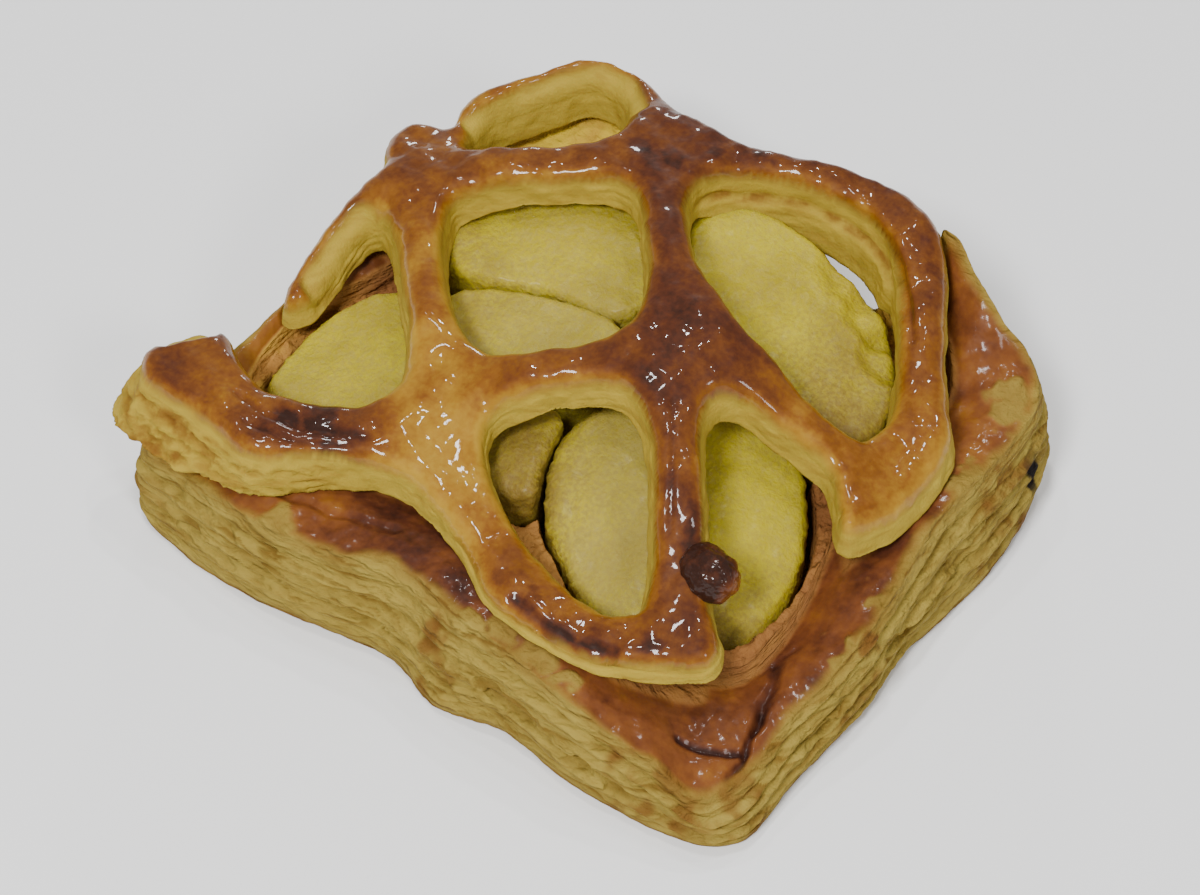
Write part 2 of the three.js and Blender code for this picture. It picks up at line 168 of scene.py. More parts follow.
# %% Lattice outlines and drape
OUTER_EDGE = [
    [-58.5, -38.8], [-50, -39.7], [-42.5, -39.6], [-35.5, -39.2], [-30.5, -36.6], [-26.3, -33.2],
    [-20.5, -30.2], [-14, -28.4], [-8, -29.3], [1, -32], [7, -35.6], [15.5, -36.2],
    [26.5, -34.8], [34, -30.8], [39, -26.8], [38.5, -23.6], [34.3, -20], [27.7, -12.3],
    [22.5, -6], [18.6, -0.5], [18.2, 3], [21, 5.9], [25.5, 6.8], [31, 7.4], [35.5, 7.3],
    [39, 4.2], [42.5, 0.8], [45.3, 6], [46.6, 15], [46, 23.5], [42, 29], [37.5, 35.3],
    [33, 42.5], [29.3, 48], [24.5, 52.8], [17.5, 55.2], [8.5, 53.8], [-1, 49.7], [-9, 47.7],
    [-19.5, 47.8], [-30.5, 52.3], [-38.5, 52.4], [-43.5, 49.5], [-47, 44.5], [-50.5, 40],
    [-52.7, 35.5], [-52.3, 31.5], [-51.5, 28.8], [-54, 27.7], [-57, 26], [-58, 22.5],
    [-56.8, 18.8], [-53.6, 15], [-54, 10], [-54.6, 4], [-54.4, -4], [-53.4, -9.3],
    [-51, -12.2], [-48.8, -9.4], [-49.4, -3], [-49.8, 2], [-49, 5.6], [-47, 6.8], [-44.5, 5.8],
    [-39, 1], [-34, -4], [-29.5, -8], [-26, -13], [-24.3, -17.5], [-26.5, -21.7], [-31.5, -25],
    [-37, -27.5], [-42.5, -29], [-48, -27.8], [-51.6, -24.6], [-54.5, -23], [-58, -25.2],
    [-61.4, -30.5], [-61.8, -35.5],
]
OPENINGS = {
    "middle": [
        [-38.5, 14.5], [-34.3, 18.7], [-26.5, 24.4], [-19.3, 28.6], [-14.5, 28.3], [-7.2, 20.7],
        [-1.5, 13.5], [0.7, 6.5], [-2, 1.8], [-7.5, -3], [-13, -6.2], [-18.5, -5.9],
        [-24.5, -3.2], [-31, 2.5], [-36, 8.3],
    ],
    "front": [
        [-8.8, -14.3], [-5.2, -10.4], [-0.2, -6.4], [4.2, -4], [8.7, -3.8], [14, -7],
        [20.8, -15.3], [25.4, -22.6], [26.2, -26], [23.5, -27.9], [19, -28.6], [11.5, -27.2],
        [3, -24.5], [-4, -20.8], [-8, -17.3],
    ],
    "right": [
        [-7.3, 32], [-7.5, 37], [-4.5, 41.3], [0.8, 44.5], [7, 46.8], [12.8, 47.4], [18.8, 45.6],
        [25.2, 40], [31, 32], [35.2, 24.5], [36.2, 19.5], [34.8, 15], [31, 13.9], [26, 14.4],
        [21, 14.9], [15.5, 14.6], [8.6, 17.4], [2, 20.9], [-3, 25.8],
    ],
    "back": [
        [-47.4, 28.8], [-47.6, 34.5], [-44.8, 39.8], [-41.2, 45], [-38.7, 48], [-34.8, 48.7],
        [-30.4, 47], [-27, 43], [-25.2, 37.5], [-30, 31.5], [-38.2, 26.3], [-44.5, 25.2],
    ],
}
DRAPE = np.array([
    [10.5, 7.5, 42, 7], [-2.5, 20, 42, 6.5], [-17, 38, 40, 7], [-31.5, 26.5, 38.5, 6.5],
    [-46, 13, 35.5, 8], [-31, -2.5, 34.5, 7], [-18, -17, 32, 7], [-4, -4, 37.5, 6.5],
    [21, -7, 37, 6.5], [29.5, -18.5, 30, 6], [34.5, -25, 23, 5], [24.5, -32.5, 23, 3.5],
    [6.5, -32, 24, 3.5], [-9, -26, 26.5, 5.5], [-25.5, -26.5, 28, 8.8], [-40, -32, 28, 10],
    [-56, -34, 27, 10], [30, 7, 34.5, 7], [42.5, 10, 26, 6.5], [41, 28, 29, 7],
    [30.5, 40, 33.5, 9], [17, 47.5, 37, 13], [0.5, 47.5, 39, 13], [-43, 46.5, 35, 10.5],
    [-51, 36, 32.5, 10], [-30.5, 51, 37, 9], [-52.5, 4.5, 32, 11], [-53, -6, 27, 6.5],
    [-52, -9.5, 23, 4], [-56.5, 24, 31, 8],
])
DRAPE_REACH = 7.5                     # how far each of those heights makes itself felt


def spread(x, y, spots, reach):
    """How much each spot counts at each point; the shares add up to 1."""
    far = (x[:, None] - spots[:, 0]) ** 2 + (y[:, None] - spots[:, 1]) ** 2
    weight = np.exp(-far / (2 * reach**2)) + 1e-5 / (1 + far)
    return weight / weight.sum(1)[:, None]


def sheet_at(x, y):
    """Top and thickness of the draped sheet."""
    share = spread(x, y, DRAPE, DRAPE_REACH)
    return share @ DRAPE[:, 2], share @ DRAPE[:, 3]


sheet_rings = [turned(even_ring(OUTER_EDGE, 1.3), clockwise=False)]
sheet_rings += [turned(even_ring(ring, 1.3), clockwise=True) for ring in OPENINGS.values()]
print("lattice edges", [len(ring) for ring in sheet_rings])

# %% [markdown]
# ## Where a point lies on a cut sheet
# The cut sides are pale and layered and the top is glazed, so every point needs its distance from
# the nearest cut, the direction out of the pastry there, and its place along the cut.

# %% Distance to the cut edges


def cut_normals(ring):
    """Direction out of the pastry at each point of a ring that has the pastry on its left."""
    run = np.roll(ring, -1, axis=0) - np.roll(ring, 1, axis=0)
    return np.column_stack([run[:, 1], -run[:, 0]]) / np.linalg.norm(run, axis=1)[:, None]


def nearest_cut(xy, rings):
    """Signed distance (negative in the pastry), outward direction and place along the cut."""
    start = np.concatenate(rings)
    run = np.concatenate([np.roll(ring, -1, axis=0) for ring in rings]) - start
    facing = np.concatenate([cut_normals(ring) for ring in rings])
    facing_next = np.concatenate([np.roll(cut_normals(ring), -1, axis=0) for ring in rings])
    length = np.linalg.norm(run, axis=1)
    walked = np.concatenate([[0], np.cumsum(length)[:-1]])
    rise = np.where(run[:, 1] == 0, 1e-9, run[:, 1])
    distance, outward, place = np.empty(len(xy)), np.empty((len(xy), 2)), np.empty(len(xy))
    for rows in np.array_split(np.arange(len(xy)), len(xy) // 3000 + 1):
        point = xy[rows][:, None]
        share = np.clip(((point - start) * run).sum(2) / length**2, 0, 1)
        far = ((point - start - share[..., None] * run) ** 2).sum(2)
        best = far.argmin(1)
        pick = (np.arange(len(rows)), best)
        crosses = (start[:, 1] > point[..., 1]) != (start[:, 1] + run[:, 1] > point[..., 1])
        left = point[..., 0] < start[:, 0] + (point[..., 1] - start[:, 1]) / rise * run[:, 0]
        inside = (crosses & left).sum(1) % 2 == 1
        distance[rows] = np.where(inside, -1.0, 1.0) * np.sqrt(far[pick])
        outward[rows] = lerp(facing[best], facing_next[best], share[pick][:, None])
        place[rows] = walked[best] + share[pick] * length[best]
    return distance, outward, place


def line_distance(xy, line):
    """Distance of each point from an open line through a few places."""
    line = np.asarray(line, float)
    start, run = line[:-1], np.diff(line, axis=0)
    offset = xy[:, None] - start
    share = np.clip((offset * run).sum(2) / (run**2).sum(1), 0, 1)
    return np.linalg.norm(offset - share[..., None] * run, axis=2).min(1)


def near_discs(xy, discs):
    """1 inside any of the discs [x, y, radius], fading to 0 outside them."""
    inside = [smoothstep(1.25, 0.75, np.hypot(xy[:, 0] - x, xy[:, 1] - y) / r) for x, y, r in discs]
    return np.max(inside, axis=0)


print("the pole is", nearest_cut(POLE[None], sheet_rings)[0].round(1), "mm from the nearest cut")

# %% [markdown]
# ## A slab to bend
# A flat slab with holes is quickest as a 2-D curve: Blender fills it and extrudes it. The fill has
# long thin triangles that can't bend, so a voxel remesh turns it into small even quads first. The
# remesh leaves small steps along the cuts, so the points nearest to a cut are set back on it.

# %% Flat slabs of even quads
VOXEL = 0.45                          # size of the quads, in plan millimetres
SNAP = (0.5, 0.25)                    # points this close to a cut are set exactly on it


def mesh_object(name, verts, faces, attributes=None):
    """A smooth-shaded mesh from plan millimetres, with its painted values as attributes."""
    mesh = bpy.data.meshes.new(name)
    mesh.from_pydata(to_frame(verts).tolist(), [], faces)
    mesh.shade_smooth()
    for key, values in (attributes or {}).items():
        mesh.attributes.new(key, "FLOAT", "POINT").data.foreach_set("value", values.astype(np.float32))
    piece = bpy.data.objects.new(name, mesh)
    bpy.context.scene.collection.objects.link(piece)
    return piece


def flat_slab(rings, thick):
    """Points and quads of a flat slab from z = 0 to thick, cut out along the rings."""
    outline = bpy.data.curves.new("cutter", "CURVE")
    outline.dimensions = "2D"
    outline.fill_mode = "BOTH"
    outline.extrude = thick / 2
    for ring in rings:
        spline = outline.splines.new("POLY")
        spline.points.add(len(ring) - 1)
        corners = np.column_stack([ring, np.zeros(len(ring)), np.ones(len(ring))])
        spline.points.foreach_set("co", corners.ravel())
        spline.use_cyclic_u = True
    cutter = bpy.data.objects.new("cutter", outline)
    bpy.context.scene.collection.objects.link(cutter)
    filled = bpy.data.meshes.new_from_object(cutter.evaluated_get(bpy.context.evaluated_depsgraph_get()))
    dough = bpy.data.objects.new("dough", filled)
    bpy.context.scene.collection.objects.link(dough)
    remesh = dough.modifiers.new("even quads", "REMESH")
    remesh.mode = "VOXEL"
    remesh.voxel_size = VOXEL
    even = bpy.data.meshes.new_from_object(dough.evaluated_get(bpy.context.evaluated_depsgraph_get()))
    verts = np.empty(len(even.vertices) * 3)
    even.vertices.foreach_get("co", verts)
    faces = [tuple(face.vertices) for face in even.polygons]
    for thing in (cutter, dough):
        bpy.data.objects.remove(thing)
    verts = verts.reshape(-1, 3)
    verts[:, 2] += thick / 2
    return verts, faces


def cut_slab(rings, thick):
    """A flat slab cut along the rings: points, faces, way out, place along the cut and depth in."""
    flat, faces = flat_slab(rings, thick)
    away, outward, place = nearest_cut(flat[:, :2], rings)
    snap = smoothstep(*SNAP, np.abs(away))
    flat[:, :2] -= outward * (away * snap)[:, None]
    return flat, faces, outward, place, np.maximum(-away * (1 - snap), 0)


def normals_of(verts, faces):
    """Outward unit normal at each point."""
    quads = np.array([face if len(face) == 4 else (*face, face[2]) for face in faces])
    corners = verts[quads]
    facing = np.cross(corners[:, 2] - corners[:, 0], corners[:, 3] - corners[:, 1])
    total = np.zeros_like(verts)
    for k in range(4):
        np.add.at(total, quads[:, k], facing)
    return total / np.maximum(np.linalg.norm(total, axis=1), 1e-12)[:, None]


# %% [markdown]
# ## How dark it baked
# The glaze is golden where it is thin or low and red-brown to black where the sheet stood highest
# in the oven. A cook sees that as patches, so it is written as patches: a place, and how dark the
# bake is there, from 0 for cream to 1 for burnt.

# %% Bake on the lattice
LATTICE_BAKE = np.array([
    [10, 8, 0.86], [15, 1, 0.80], [4, 1.5, 0.72], [-2.5, 20, 0.78], [-13, 33.5, 0.80],
    [-17.5, 38.5, 0.84], [-25.5, 31.5, 0.62], [-37, 23.5, 0.60], [-46.5, 13, 0.60],
    [-55.5, 21.5, 0.62], [-32.5, -0.5, 0.40], [-18.5, -16.5, 0.24], [-4, -4, 0.56],
    [-11, -9.5, 0.46], [22, -9, 0.72], [27.5, -18, 0.70], [34, -27, 0.66],
    [25, -33, 0.62], [16.5, -31, 0.50], [7, -31.5, 0.52], [-8.5, -25.5, 0.26],
    [-13.5, -20.5, 0.20], [-25, -29, 0.84], [-36, -32, 0.66], [-45, -33, 0.56],
    [-56, -33, 0.62], [28, 8, 0.46], [17, 10.5, 0.74], [43.5, 8.5, 0.42],
    [41.5, 18, 0.42], [37, 31, 0.56], [28.5, 41, 0.62], [17.5, 48.5, 0.64],
    [0, 48.5, 0.70], [-11, 45, 0.78], [-27, 49, 0.66], [-40.5, 48.5, 0.40],
    [-49.5, 36.5, 0.38], [-53, 5, 0.52], [42.5, -0.5, 0.40],
])
BAKE_REACH = 5.0                      # how far each of those patches makes itself felt
BURNS = [                             # small blisters that caught: place and radius
    [-19.5, 36, 1.8], [-13.5, 36.5, 1.6], [-29.5, -28.2, 2.4], [-33.8, -31, 1.6], [-25, -31.6, 1.6],
    [19, -34.6, 2.2], [24, -34.4, 2.4], [14, -33.6, 1.5], [31, -29, 1.6], [26.5, -13.6, 1.6],
    [28.5, -16.4, 1.5], [31.5, 45, 1.6], [28.5, 44.5, 1.5], [-3.5, 46.8, 1.8], [-8.8, 41.5, 1.5],
    [5, 49.2, 1.5],
]
BARE = [                              # where the sheet stood on edge and took no glaze: reach, line
    (2.5, [[-49.8, -6], [-50, 0.5], [-49.6, 4.5]]),
    (1.9, [[-48.6, 31], [-47, 34.5], [-44.6, 40], [-41, 45.6], [-37.2, 49.2], [-31.5, 48.8], [-27, 45]]),
    (2.2, [[-57.2, -25.2], [-60.6, -30.5]]),
]


def bake_at(xy, spots):
    """How dark the crust is at each point."""
    return spread(*xy.T, spots, BAKE_REACH) @ spots[:, 2]


print("bake at the pole", bake_at(POLE[None], LATTICE_BAKE).round(2))

# %% [markdown]
# ## Draping the sheet
# A limp sheet keeps its thickness, so each column of the slab is set on the drape and keeps its
# share of it. The top rolls over into the cut sides, the strips are a little higher along their
# middle, and the folded corner leans out at its foot. A cloth simulation would sag the strips as
# well, but not to the heights that the real ones have.

# %% Drape the slab
SLAB_THICK = 8.0                      # of the flat slab; the drape gives the real thickness
EDGE_ROLL = 2.3                       # radius of the rolled top edge
FULL_THICK = 6.0                      # thinner pastry than this rolls less
CROWN = {"high": 0.7, "reach": 4.5}   # the strips are a little higher along their middle
BLISTER_RELIEF = 0.45                 # height of the soft blisters in the glazed top
BARE_SLOPE = 1.6                      # how far the unglazed places slope away
CORNER_LEAN = {"out": 5.0, "x": -0.4, "y": -0.9, "left": (30, 50), "front": (18, 30)}


def blister(x, y):
    """The broad soft blisters that the CAD sheet has."""
    broad = np.sin(0.31 * x + 1.1) * np.cos(0.27 * y - 0.6)
    fine = np.sin(0.83 * x + 0.6 * y) * np.cos(0.71 * y - 0.45 * x + 2)
    return 0.6 * broad + 0.4 * fine


def draped(xy, share, depth_in, bare):
    """Height of each point of the slab, and how far it is below the top of the sheet."""
    top, thick = sheet_at(*xy.T)
    near = np.clip(1 - depth_in / EDGE_ROLL, 0, 1)
    roll = EDGE_ROLL * (1 - np.sqrt(1 - near**2)) * np.minimum(1, thick / FULL_THICK)
    crown = CROWN["high"] * (1 - np.clip(depth_in / CROWN["reach"], 0, 1)) ** 2
    drop = (roll + crown + BARE_SLOPE * bare) * share
    z = top - thick * (1 - share) - drop + BLISTER_RELIEF * blister(*xy.T) * share
    return z, drop + thick * (1 - share)


def corner_lean(xy, share):
    """How far each point of the folded corner leans out of its column."""
    corner = smoothstep(*CORNER_LEAN["left"], -xy[:, 0]) * smoothstep(*CORNER_LEAN["front"], -xy[:, 1])
    return (CORNER_LEAN["out"] * corner * (0.5 - share))[:, None] * [CORNER_LEAN["x"], CORNER_LEAN["y"]]


print("blister at the pole", blister(*POLE).round(2))

# %% [markdown]
# ## Layers in the cut sides
# A pastry wheel leaves a clean cut, and baking opens it: dark seams between pale layers, a second
# layer that stands out below some edges, and a corner whose layers fanned apart. These follow the
# cut, so they are noise in place along the cut and height rather than in plan.

# %% Sides of the lattice
SIDE_FLARE = 0.7                      # the cut sides spread towards their foot
SHEET_LAYER = 1.4                     # height of one baked layer in the cut sides
LEDGE = 2.6                           # a second layer shows this far below some edges
DEEP_LEDGE = 5.6                      # and this far below the edge of the right opening
DEEP_SIDES = [[-3, 39, 6], [4, 44, 7], [14, 46.5, 6], [20, 44.5, 4]]
SPREAD_SIDES = [[-40, -41, 17], [-58, -38, 14]]   # the folded corner, whose layers fanned open
SCORCHED_SIDES = [[-62, -33, 5.5], [-59, -39, 5], [-52, -40.5, 4.5], [-45, -40, 4]]
UPRIGHT_SIDES = [[28, 50, 9], [34, 38, 9], [28, 36, 8]]   # here the sides drop straight down


def side_layers(xy, below, trail):
    """Dark seams, how far the layers push out, and the painted shade in the hollows between them; trail runs
    along the cut.
    """
    fan = near_discs(xy, SPREAD_SIDES)
    sheets = below / SHEET_LAYER + 0.9 * ripple(trail * [1, 1, 0.4], 11, 3)
    split = smoothstep(0.5, 1.0, 2 * np.abs(sheets % 1 - 0.5)) * smoothstep(-0.1, 0.5, ripple(trail, 8, 5))
    ledge = smoothstep(0.5, 0.1, np.abs(below - LEDGE - 0.5 * ripple(trail, 9, 6)))
    ledge = ledge * smoothstep(-0.2, 0.4, ripple(trail, 14, 8))
    seam = np.maximum(split * lerp(0.35, 1.0, fan), 0.5 * ledge)
    deep = near_discs(xy, DEEP_SIDES)
    under = below - DEEP_LEDGE - 0.9 * ripple(trail, 10, 14)
    seam = np.maximum(seam, deep * smoothstep(1.0, 0.2, np.abs(under)))
    scorched = smoothstep(-0.5, 0.2, crumple(trail * [0.4, 1, 1.6], 3, 3, 16))
    seam = np.maximum(seam, near_discs(xy, SCORCHED_SIDES) * scorched)
    cells = np.maximum(veins(trail * [0.22, 1, 1], 1.9, 7), 0.8 * veins(trail * [0.4, 1, 1.3], 1.2, 13))
    push = 0.22 * crumple(trail, 3.5, 2, 9) - 0.5 * seam + 0.8 * fan * (cells - 0.5)
    push = push + 0.8 * deep * smoothstep(-0.3, 0.5, under)
    return seam, push, fan * (1 - cells)


print("layers in a strip", round(float(np.median(DRAPE[:, 3])) / SHEET_LAYER, 1))

# %% [markdown]
# ## Folds and colour of the glazed top
# Where the sheet was stretched the glaze shows long folds, and a fold is darker because egg ran
# into it. The rest of the bake is the patches from above, paler at the rounded edges, with small
# burnt blisters and fine streaks along the strips.

# %% Top of the lattice
GROOVES = [                           # folds in the glazed top: depth, width, how dark, line
    (0.9, 1.1, 0.12, [
        [7.3, 45.6], [10.8, 47.2], [15.1, 47], [19.5, 45.4], [23.2, 43.2], [27.3, 39.2], [32.4, 33.3],
    ]),
    (0.5, 0.7, 0.10, [[-44, -33.5], [-37, -33], [-30, -31.5]]),
    (0.4, 0.6, 0.10, [[-39, -36], [-30, -34], [-23, -29.5]]),
    (0.6, 0.7, 0.10, [[22, 3.5], [29, 3], [36, 2.5], [40, 3]]),
    (0.4, 0.6, 0.10, [[14.5, -2], [18.5, -7.5], [24.5, -16.5]]),
    (0.5, 1.5, 0.45, [[11, -34.6], [16, -35.2], [22, -34.8], [27.5, -33.4]]),
    (0.3, 1.6, 0.20, [[-36, -31], [-29, -30], [-22, -27.5]]),
]
FINE_STREAKS = 0.10                   # the crust is finely streaked along the strips
BURNT = 0.16                          # how much darker a burnt blister is
PALE_EDGE = 0.30                      # how much paler the rounded edge is
GLAZE_DEPTH = (2.0, 0.6)              # the glaze ran this far down the sides, and down bare ones


def top_folds(xy, share):
    """How deep and how dark the folds make each point."""
    dip, dark = np.zeros(len(xy)), np.zeros(len(xy))
    for deep, wide, darker, line in GROOVES:
        groove = smoothstep(wide, 0.0, line_distance(xy, line)) * smoothstep(0.6, 1.0, share)
        dip += deep * groove
        dark = np.maximum(dark, darker * groove)
    return dip, dark


def lattice_bake(verts, xy, place, depth_in, glazed):
    """How dark the crust baked at each point of the lattice, but for the folds."""
    bake = bake_at(xy, LATTICE_BAKE) - PALE_EDGE * smoothstep(2.2, 0.1, depth_in) * glazed
    shaken = verts[:, :2] + 1.6 * crumple(verts, 4.0, 3, 35)[:, None] * [1, -1]
    streak = ripple(np.column_stack([0.22 * place, depth_in, 0 * place]), 0.7, 33)
    streak = streak * smoothstep(3.4, 1.4, depth_in)
    bake = bake + BURNT * near_discs(shaken, BURNS) + FINE_STREAKS * streak
    return bake + 0.13 * crumple(verts, 6.0, 4, 31)


print("folds", len(GROOVES), "and burnt blisters", len(BURNS))

# %% [markdown]
# ## The lattice, put together
# The slab is draped, its sides are pushed out into layers, and fine crumpling along the normals
# gives the glaze something to glint on. What each point is (how baked, glazed or hollow) stays on
# the mesh as painted values for the finish.

# %% Lattice mesh


def make_lattice():
    flat, faces, outward, place, depth_in = cut_slab(sheet_rings, SLAB_THICK)
    xy, share = flat[:, :2], np.clip(flat[:, 2] / SLAB_THICK, 0, 1)
    bare = np.max([smoothstep(1.3, 0.6, line_distance(xy, line) / reach) for reach, line in BARE], axis=0)
    z, below = draped(xy, share, depth_in, bare)
    seam, push, hollow = side_layers(xy, below, np.column_stack([place, place * 0, z]))
    push = push + SIDE_FLARE * (1 - share) * (1 - near_discs(xy, UPRIGHT_SIDES))
    side = smoothstep(1.0, 0.2, depth_in) * smoothstep(0.98, 0.8, share)
    verts = np.column_stack([xy + corner_lean(xy, share) + outward * (push * side)[:, None], z])
    glaze_edge = lerp(*GLAZE_DEPTH, bare) + 0.6 * crumple(verts, 9.0, 3, 11)
    glazed = smoothstep(0.9, -0.7, below - glaze_edge) * (1 - 0.9 * bare)
    dip, dark = top_folds(xy, share)
    skin = 0.20 * crumple(verts, 5.5, 3, 21) + 0.07 * crumple(verts, 1.8, 2, 25) - dip
    verts += normals_of(verts, faces) * skin[:, None]
    bake = lattice_bake(verts, xy, place, depth_in, glazed) + dark
    print("lattice", len(verts), "points; z", verts[:, 2].min().round(1), "to", verts[:, 2].max().round(1))
    return verts, faces, {"bake": bake, "glazed": glazed, "seam": seam * side, "hollow": hollow * side}


lattice = mesh_object("lattice_glazed", *make_lattice())
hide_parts("lattice")
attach(lattice, "root")

# %% [markdown]
# ## The burnt knob
# Where the slit ended, a knob of dough puffed up beside the front strip and burnt. It is a lumpy
# ball, half sunk in the strip, so a fine icosphere pushed about by noise does it.

# %% Knob
KNOB = {"x": 31.6, "y": -16.6, "z": 27.0, "long": 4.6, "wide": 3.9, "tall": 4.0}


def make_knob():
    ball = bpy.data.meshes.new("ball")
    work = bmesh.new()
    bmesh.ops.create_icosphere(work, subdivisions=6, radius=1.0)
    work.to_mesh(ball)
    work.free()
    unit = np.array([v.co for v in ball.vertices])
    faces = [tuple(face.vertices) for face in ball.polygons]
    lumps = 1 + 0.12 * crumple(unit, 0.9, 4, 41)
    verts = unit * lumps[:, None] * [KNOB["long"], KNOB["wide"], KNOB["tall"]]
    verts = verts + [KNOB["x"], KNOB["y"], KNOB["z"]]
    side = unit @ np.array([0.75, 0.35, -0.3])
    bake = 0.96 - 0.45 * smoothstep(0.1, 0.9, side) + 0.12 * crumple(verts, 3.0, 3, 43)
    whole = np.ones(len(verts))
    return verts, faces, {"bake": bake, "glazed": whole, "seam": 0 * whole, "hollow": 0 * whole}


knob = mesh_object("lattice_knob", *make_knob())
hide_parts("lattice")
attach(knob, "root")

# %% [markdown]
# ## The pastry case
# The case was a folded square whose walls puffed up layer by layer. It is drawn as a ring of
# profiles round a pole: out along the underside, up the wall, over the glazed rim and down into
# the well. Foot, lip and well are the three rings that the walls hang on.

# %% Case rings
FOOT = [
    [-56.4, -41.9, 1], [-46, -45, 0.4], [-31.5, -45, 0.6], [-18.5, -42.8, 0.8], [-7.5, -41, 0.5],
    [2.5, -43.6, 0.4], [14, -41.5, 1.4], [25, -42.3, 0.5], [38, -41.6, 0.4], [47.2, -39.4, 0.4],
    [51.6, -35.5, 0.5], [52, -22.5, 0.6], [53.2, -8, 1.2], [52.2, 4.5, 0.6], [53.6, 15, 0.5],
    [54.4, 29, 1], [52.5, 42, 2.5], [46.5, 50.5, 1.5], [35, 52.8, 0.8], [20, 52, 0.6],
    [4, 51, 0.5], [-14, 51, 0.6], [-30, 52.5, 0.8], [-46, 53, 0.6], [-54.5, 48, 1],
    [-56.5, 36, 0.8], [-56, 20, 0.6], [-55, 4, 0.5], [-56, -12, 0.7], [-57.2, -28, 0.8],
]
LIP = [
    [-55.5, -40.5, 14.5], [-47, -41, 14.5], [-38, -42, 16], [-29, -42.5, 17], [-16.5, -40.5, 18.5],
    [-6, -38, 20], [5, -39.5, 20], [16, -40, 19], [27, -40.5, 17], [38, -39.5, 13],
    [46.5, -38.5, 9], [49, -33, 9.5], [49.3, -22.5, 12], [51.2, -9.5, 15], [51, 3, 18],
    [49.3, 16, 19.5], [50.5, 31, 20], [49.5, 43.5, 21], [44.8, 48.4, 23], [39.3, 49.2, 26.8],
    [32.8, 51.2, 30.5], [27.6, 53.6, 33.6], [23.8, 54, 33], [20.3, 51.5, 21], [17, 50.3, 13.5],
    [12.5, 50.2, 12.5], [8.5, 50, 14], [5, 49.8, 23], [-3, 49.5, 26], [-14, 49.5, 26.5],
    [-25, 51, 27], [-36, 52, 26], [-47, 51.5, 23.5], [-54, 46, 22], [-55.5, 34, 22],
    [-55.3, 20, 21.5], [-54.5, 6, 20], [-55, -8, 19.5], [-55.5, -20, 18], [-57, -32, 15.5],
]
WELL = [
    [-48, -26, 17.5], [-38, -28.5, 18], [-24, -28, 18.5], [-12, -24, 18], [-3, -23, 17.5],
    [7, -25.6, 17], [15, -29, 16.5], [24, -30, 15.5], [33, -25, 12], [39.5, -19, 10],
    [40.5, -12, 10.5], [39.8, -3, 12], [37.8, 5.5, 14], [36.6, 13.8, 15.6], [38.2, 26, 17.5],
    [38, 37, 19.5], [31, 45.5, 22], [23, 47, 19], [16.5, 47.3, 12.5], [9, 47.3, 12.5],
    [3.5, 46.8, 21], [-8, 46, 23], [-20, 45.5, 22], [-30, 42, 19], [-39, 38, 18.5],
    [-45.5, 31, 19], [-47.5, 20, 19.5], [-47, 8.5, 19.5], [-51, -3, 18.5], [-52, -10, 18.5],
    [-51.5, -19, 17.5],
]
print("case rings", {"foot": len(FOOT), "lip": len(LIP), "well": len(WELL)}, "points")

# %% [markdown]
# ## How the case baked
# The rim caught the oven's heat like the lattice. Its folds get painted shade, and where it split it
# is bare and pale. The well soaked up juice and went brown round its edge. The wall is cream with a
# few browned places, some torn pockets, and one small burnt patch at the right.

# %% Bake on the case
RIM_BAKE = np.array([
    [-53.5, -41.5, 0.45], [-36, -42.5, 0.55], [-24, -33.5, 0.66], [-19.5, -39, 0.72],
    [-8.5, -31.5, 0.80], [-6.5, -39, 0.82], [5, -37, 0.72], [22.5, -39, 0.60],
    [33.5, -35.5, 0.66], [39.5, -29.5, 0.72], [44.5, -33.5, 0.62], [44, -18.5, 0.78],
    [43, -12, 0.58], [44.5, 0.5, 0.74], [48.5, 7.5, 0.78], [46, 19, 0.60],
    [48, 24, 0.40], [44.5, 40.5, 0.58], [37, 46.5, 0.66], [31, 50.5, 0.60],
    [-54, 0, 0.62], [-54, 30, 0.60], [-20, 49, 0.62], [-18, -30.5, 0.74], [4.5, -36.5, 0.78],
    [-27.5, -38.5, 0.45], [-34, -36, 0.62], [30.5, -31, 0.52], [37, -26, 0.50], [44, -36, 0.45],
    [45, 0, 0.62], [47, 6.5, 0.84], [46.5, 17, 0.66], [41, 37, 0.55], [38, 45, 0.52],
    [-51.5, -9, 0.42], [-52, -19, 0.36],
])
WELL_BAKE = np.array([                # how brown the soaked inside is
    [-36, 38, 0.10], [-44, 30, 0.18], [-28, 44, 0.12], [10, 44, 0.25], [25, 42, 0.30], [-46, 14, 0.85],
    [-50, 2, 0.75], [-49, -12, 0.40], [-22, -14, 0.60], [-4, -18, 0.70], [8, -23, 0.60], [20, -27, 0.75],
    [38, -14, 0.80], [38.5, 0, 0.85], [36, 12, 0.85], [-12, -2, 0.60], [38, 26, 0.60], [0, 20, 0.50],
    [32, -24, 0.80], [26, -27, 0.80], [31, 48, 0.85], [38, 40, 0.80], [4, -22, 0.75],
])
# how dark: the painted shade along each pinched fold
RIM_CREASES = [                       # folds where the rim was pinched: depth, width, how dark, line
    (1.0, 1.5, 0.20, [[42.5, -14.5], [44.4, -19.5], [46, -25]]),
    (0.9, 1.0, 0.42, [[45.4, -22.5], [47.0, -29.1], [47.9, -37.9]]),
    (0.7, 1.0, 0.48, [[38.5, -33.6], [41.5, -32.6], [44.5, -31.2], [47.0, -28.8]]),
    (0.5, 1.1, 0.10, [[35.8, -20.5], [41, -16], [43, -11]]),
    (0.5, 1.3, 0.10, [[-34, -37.5], [-22, -35.5], [-12, -33]]),
]
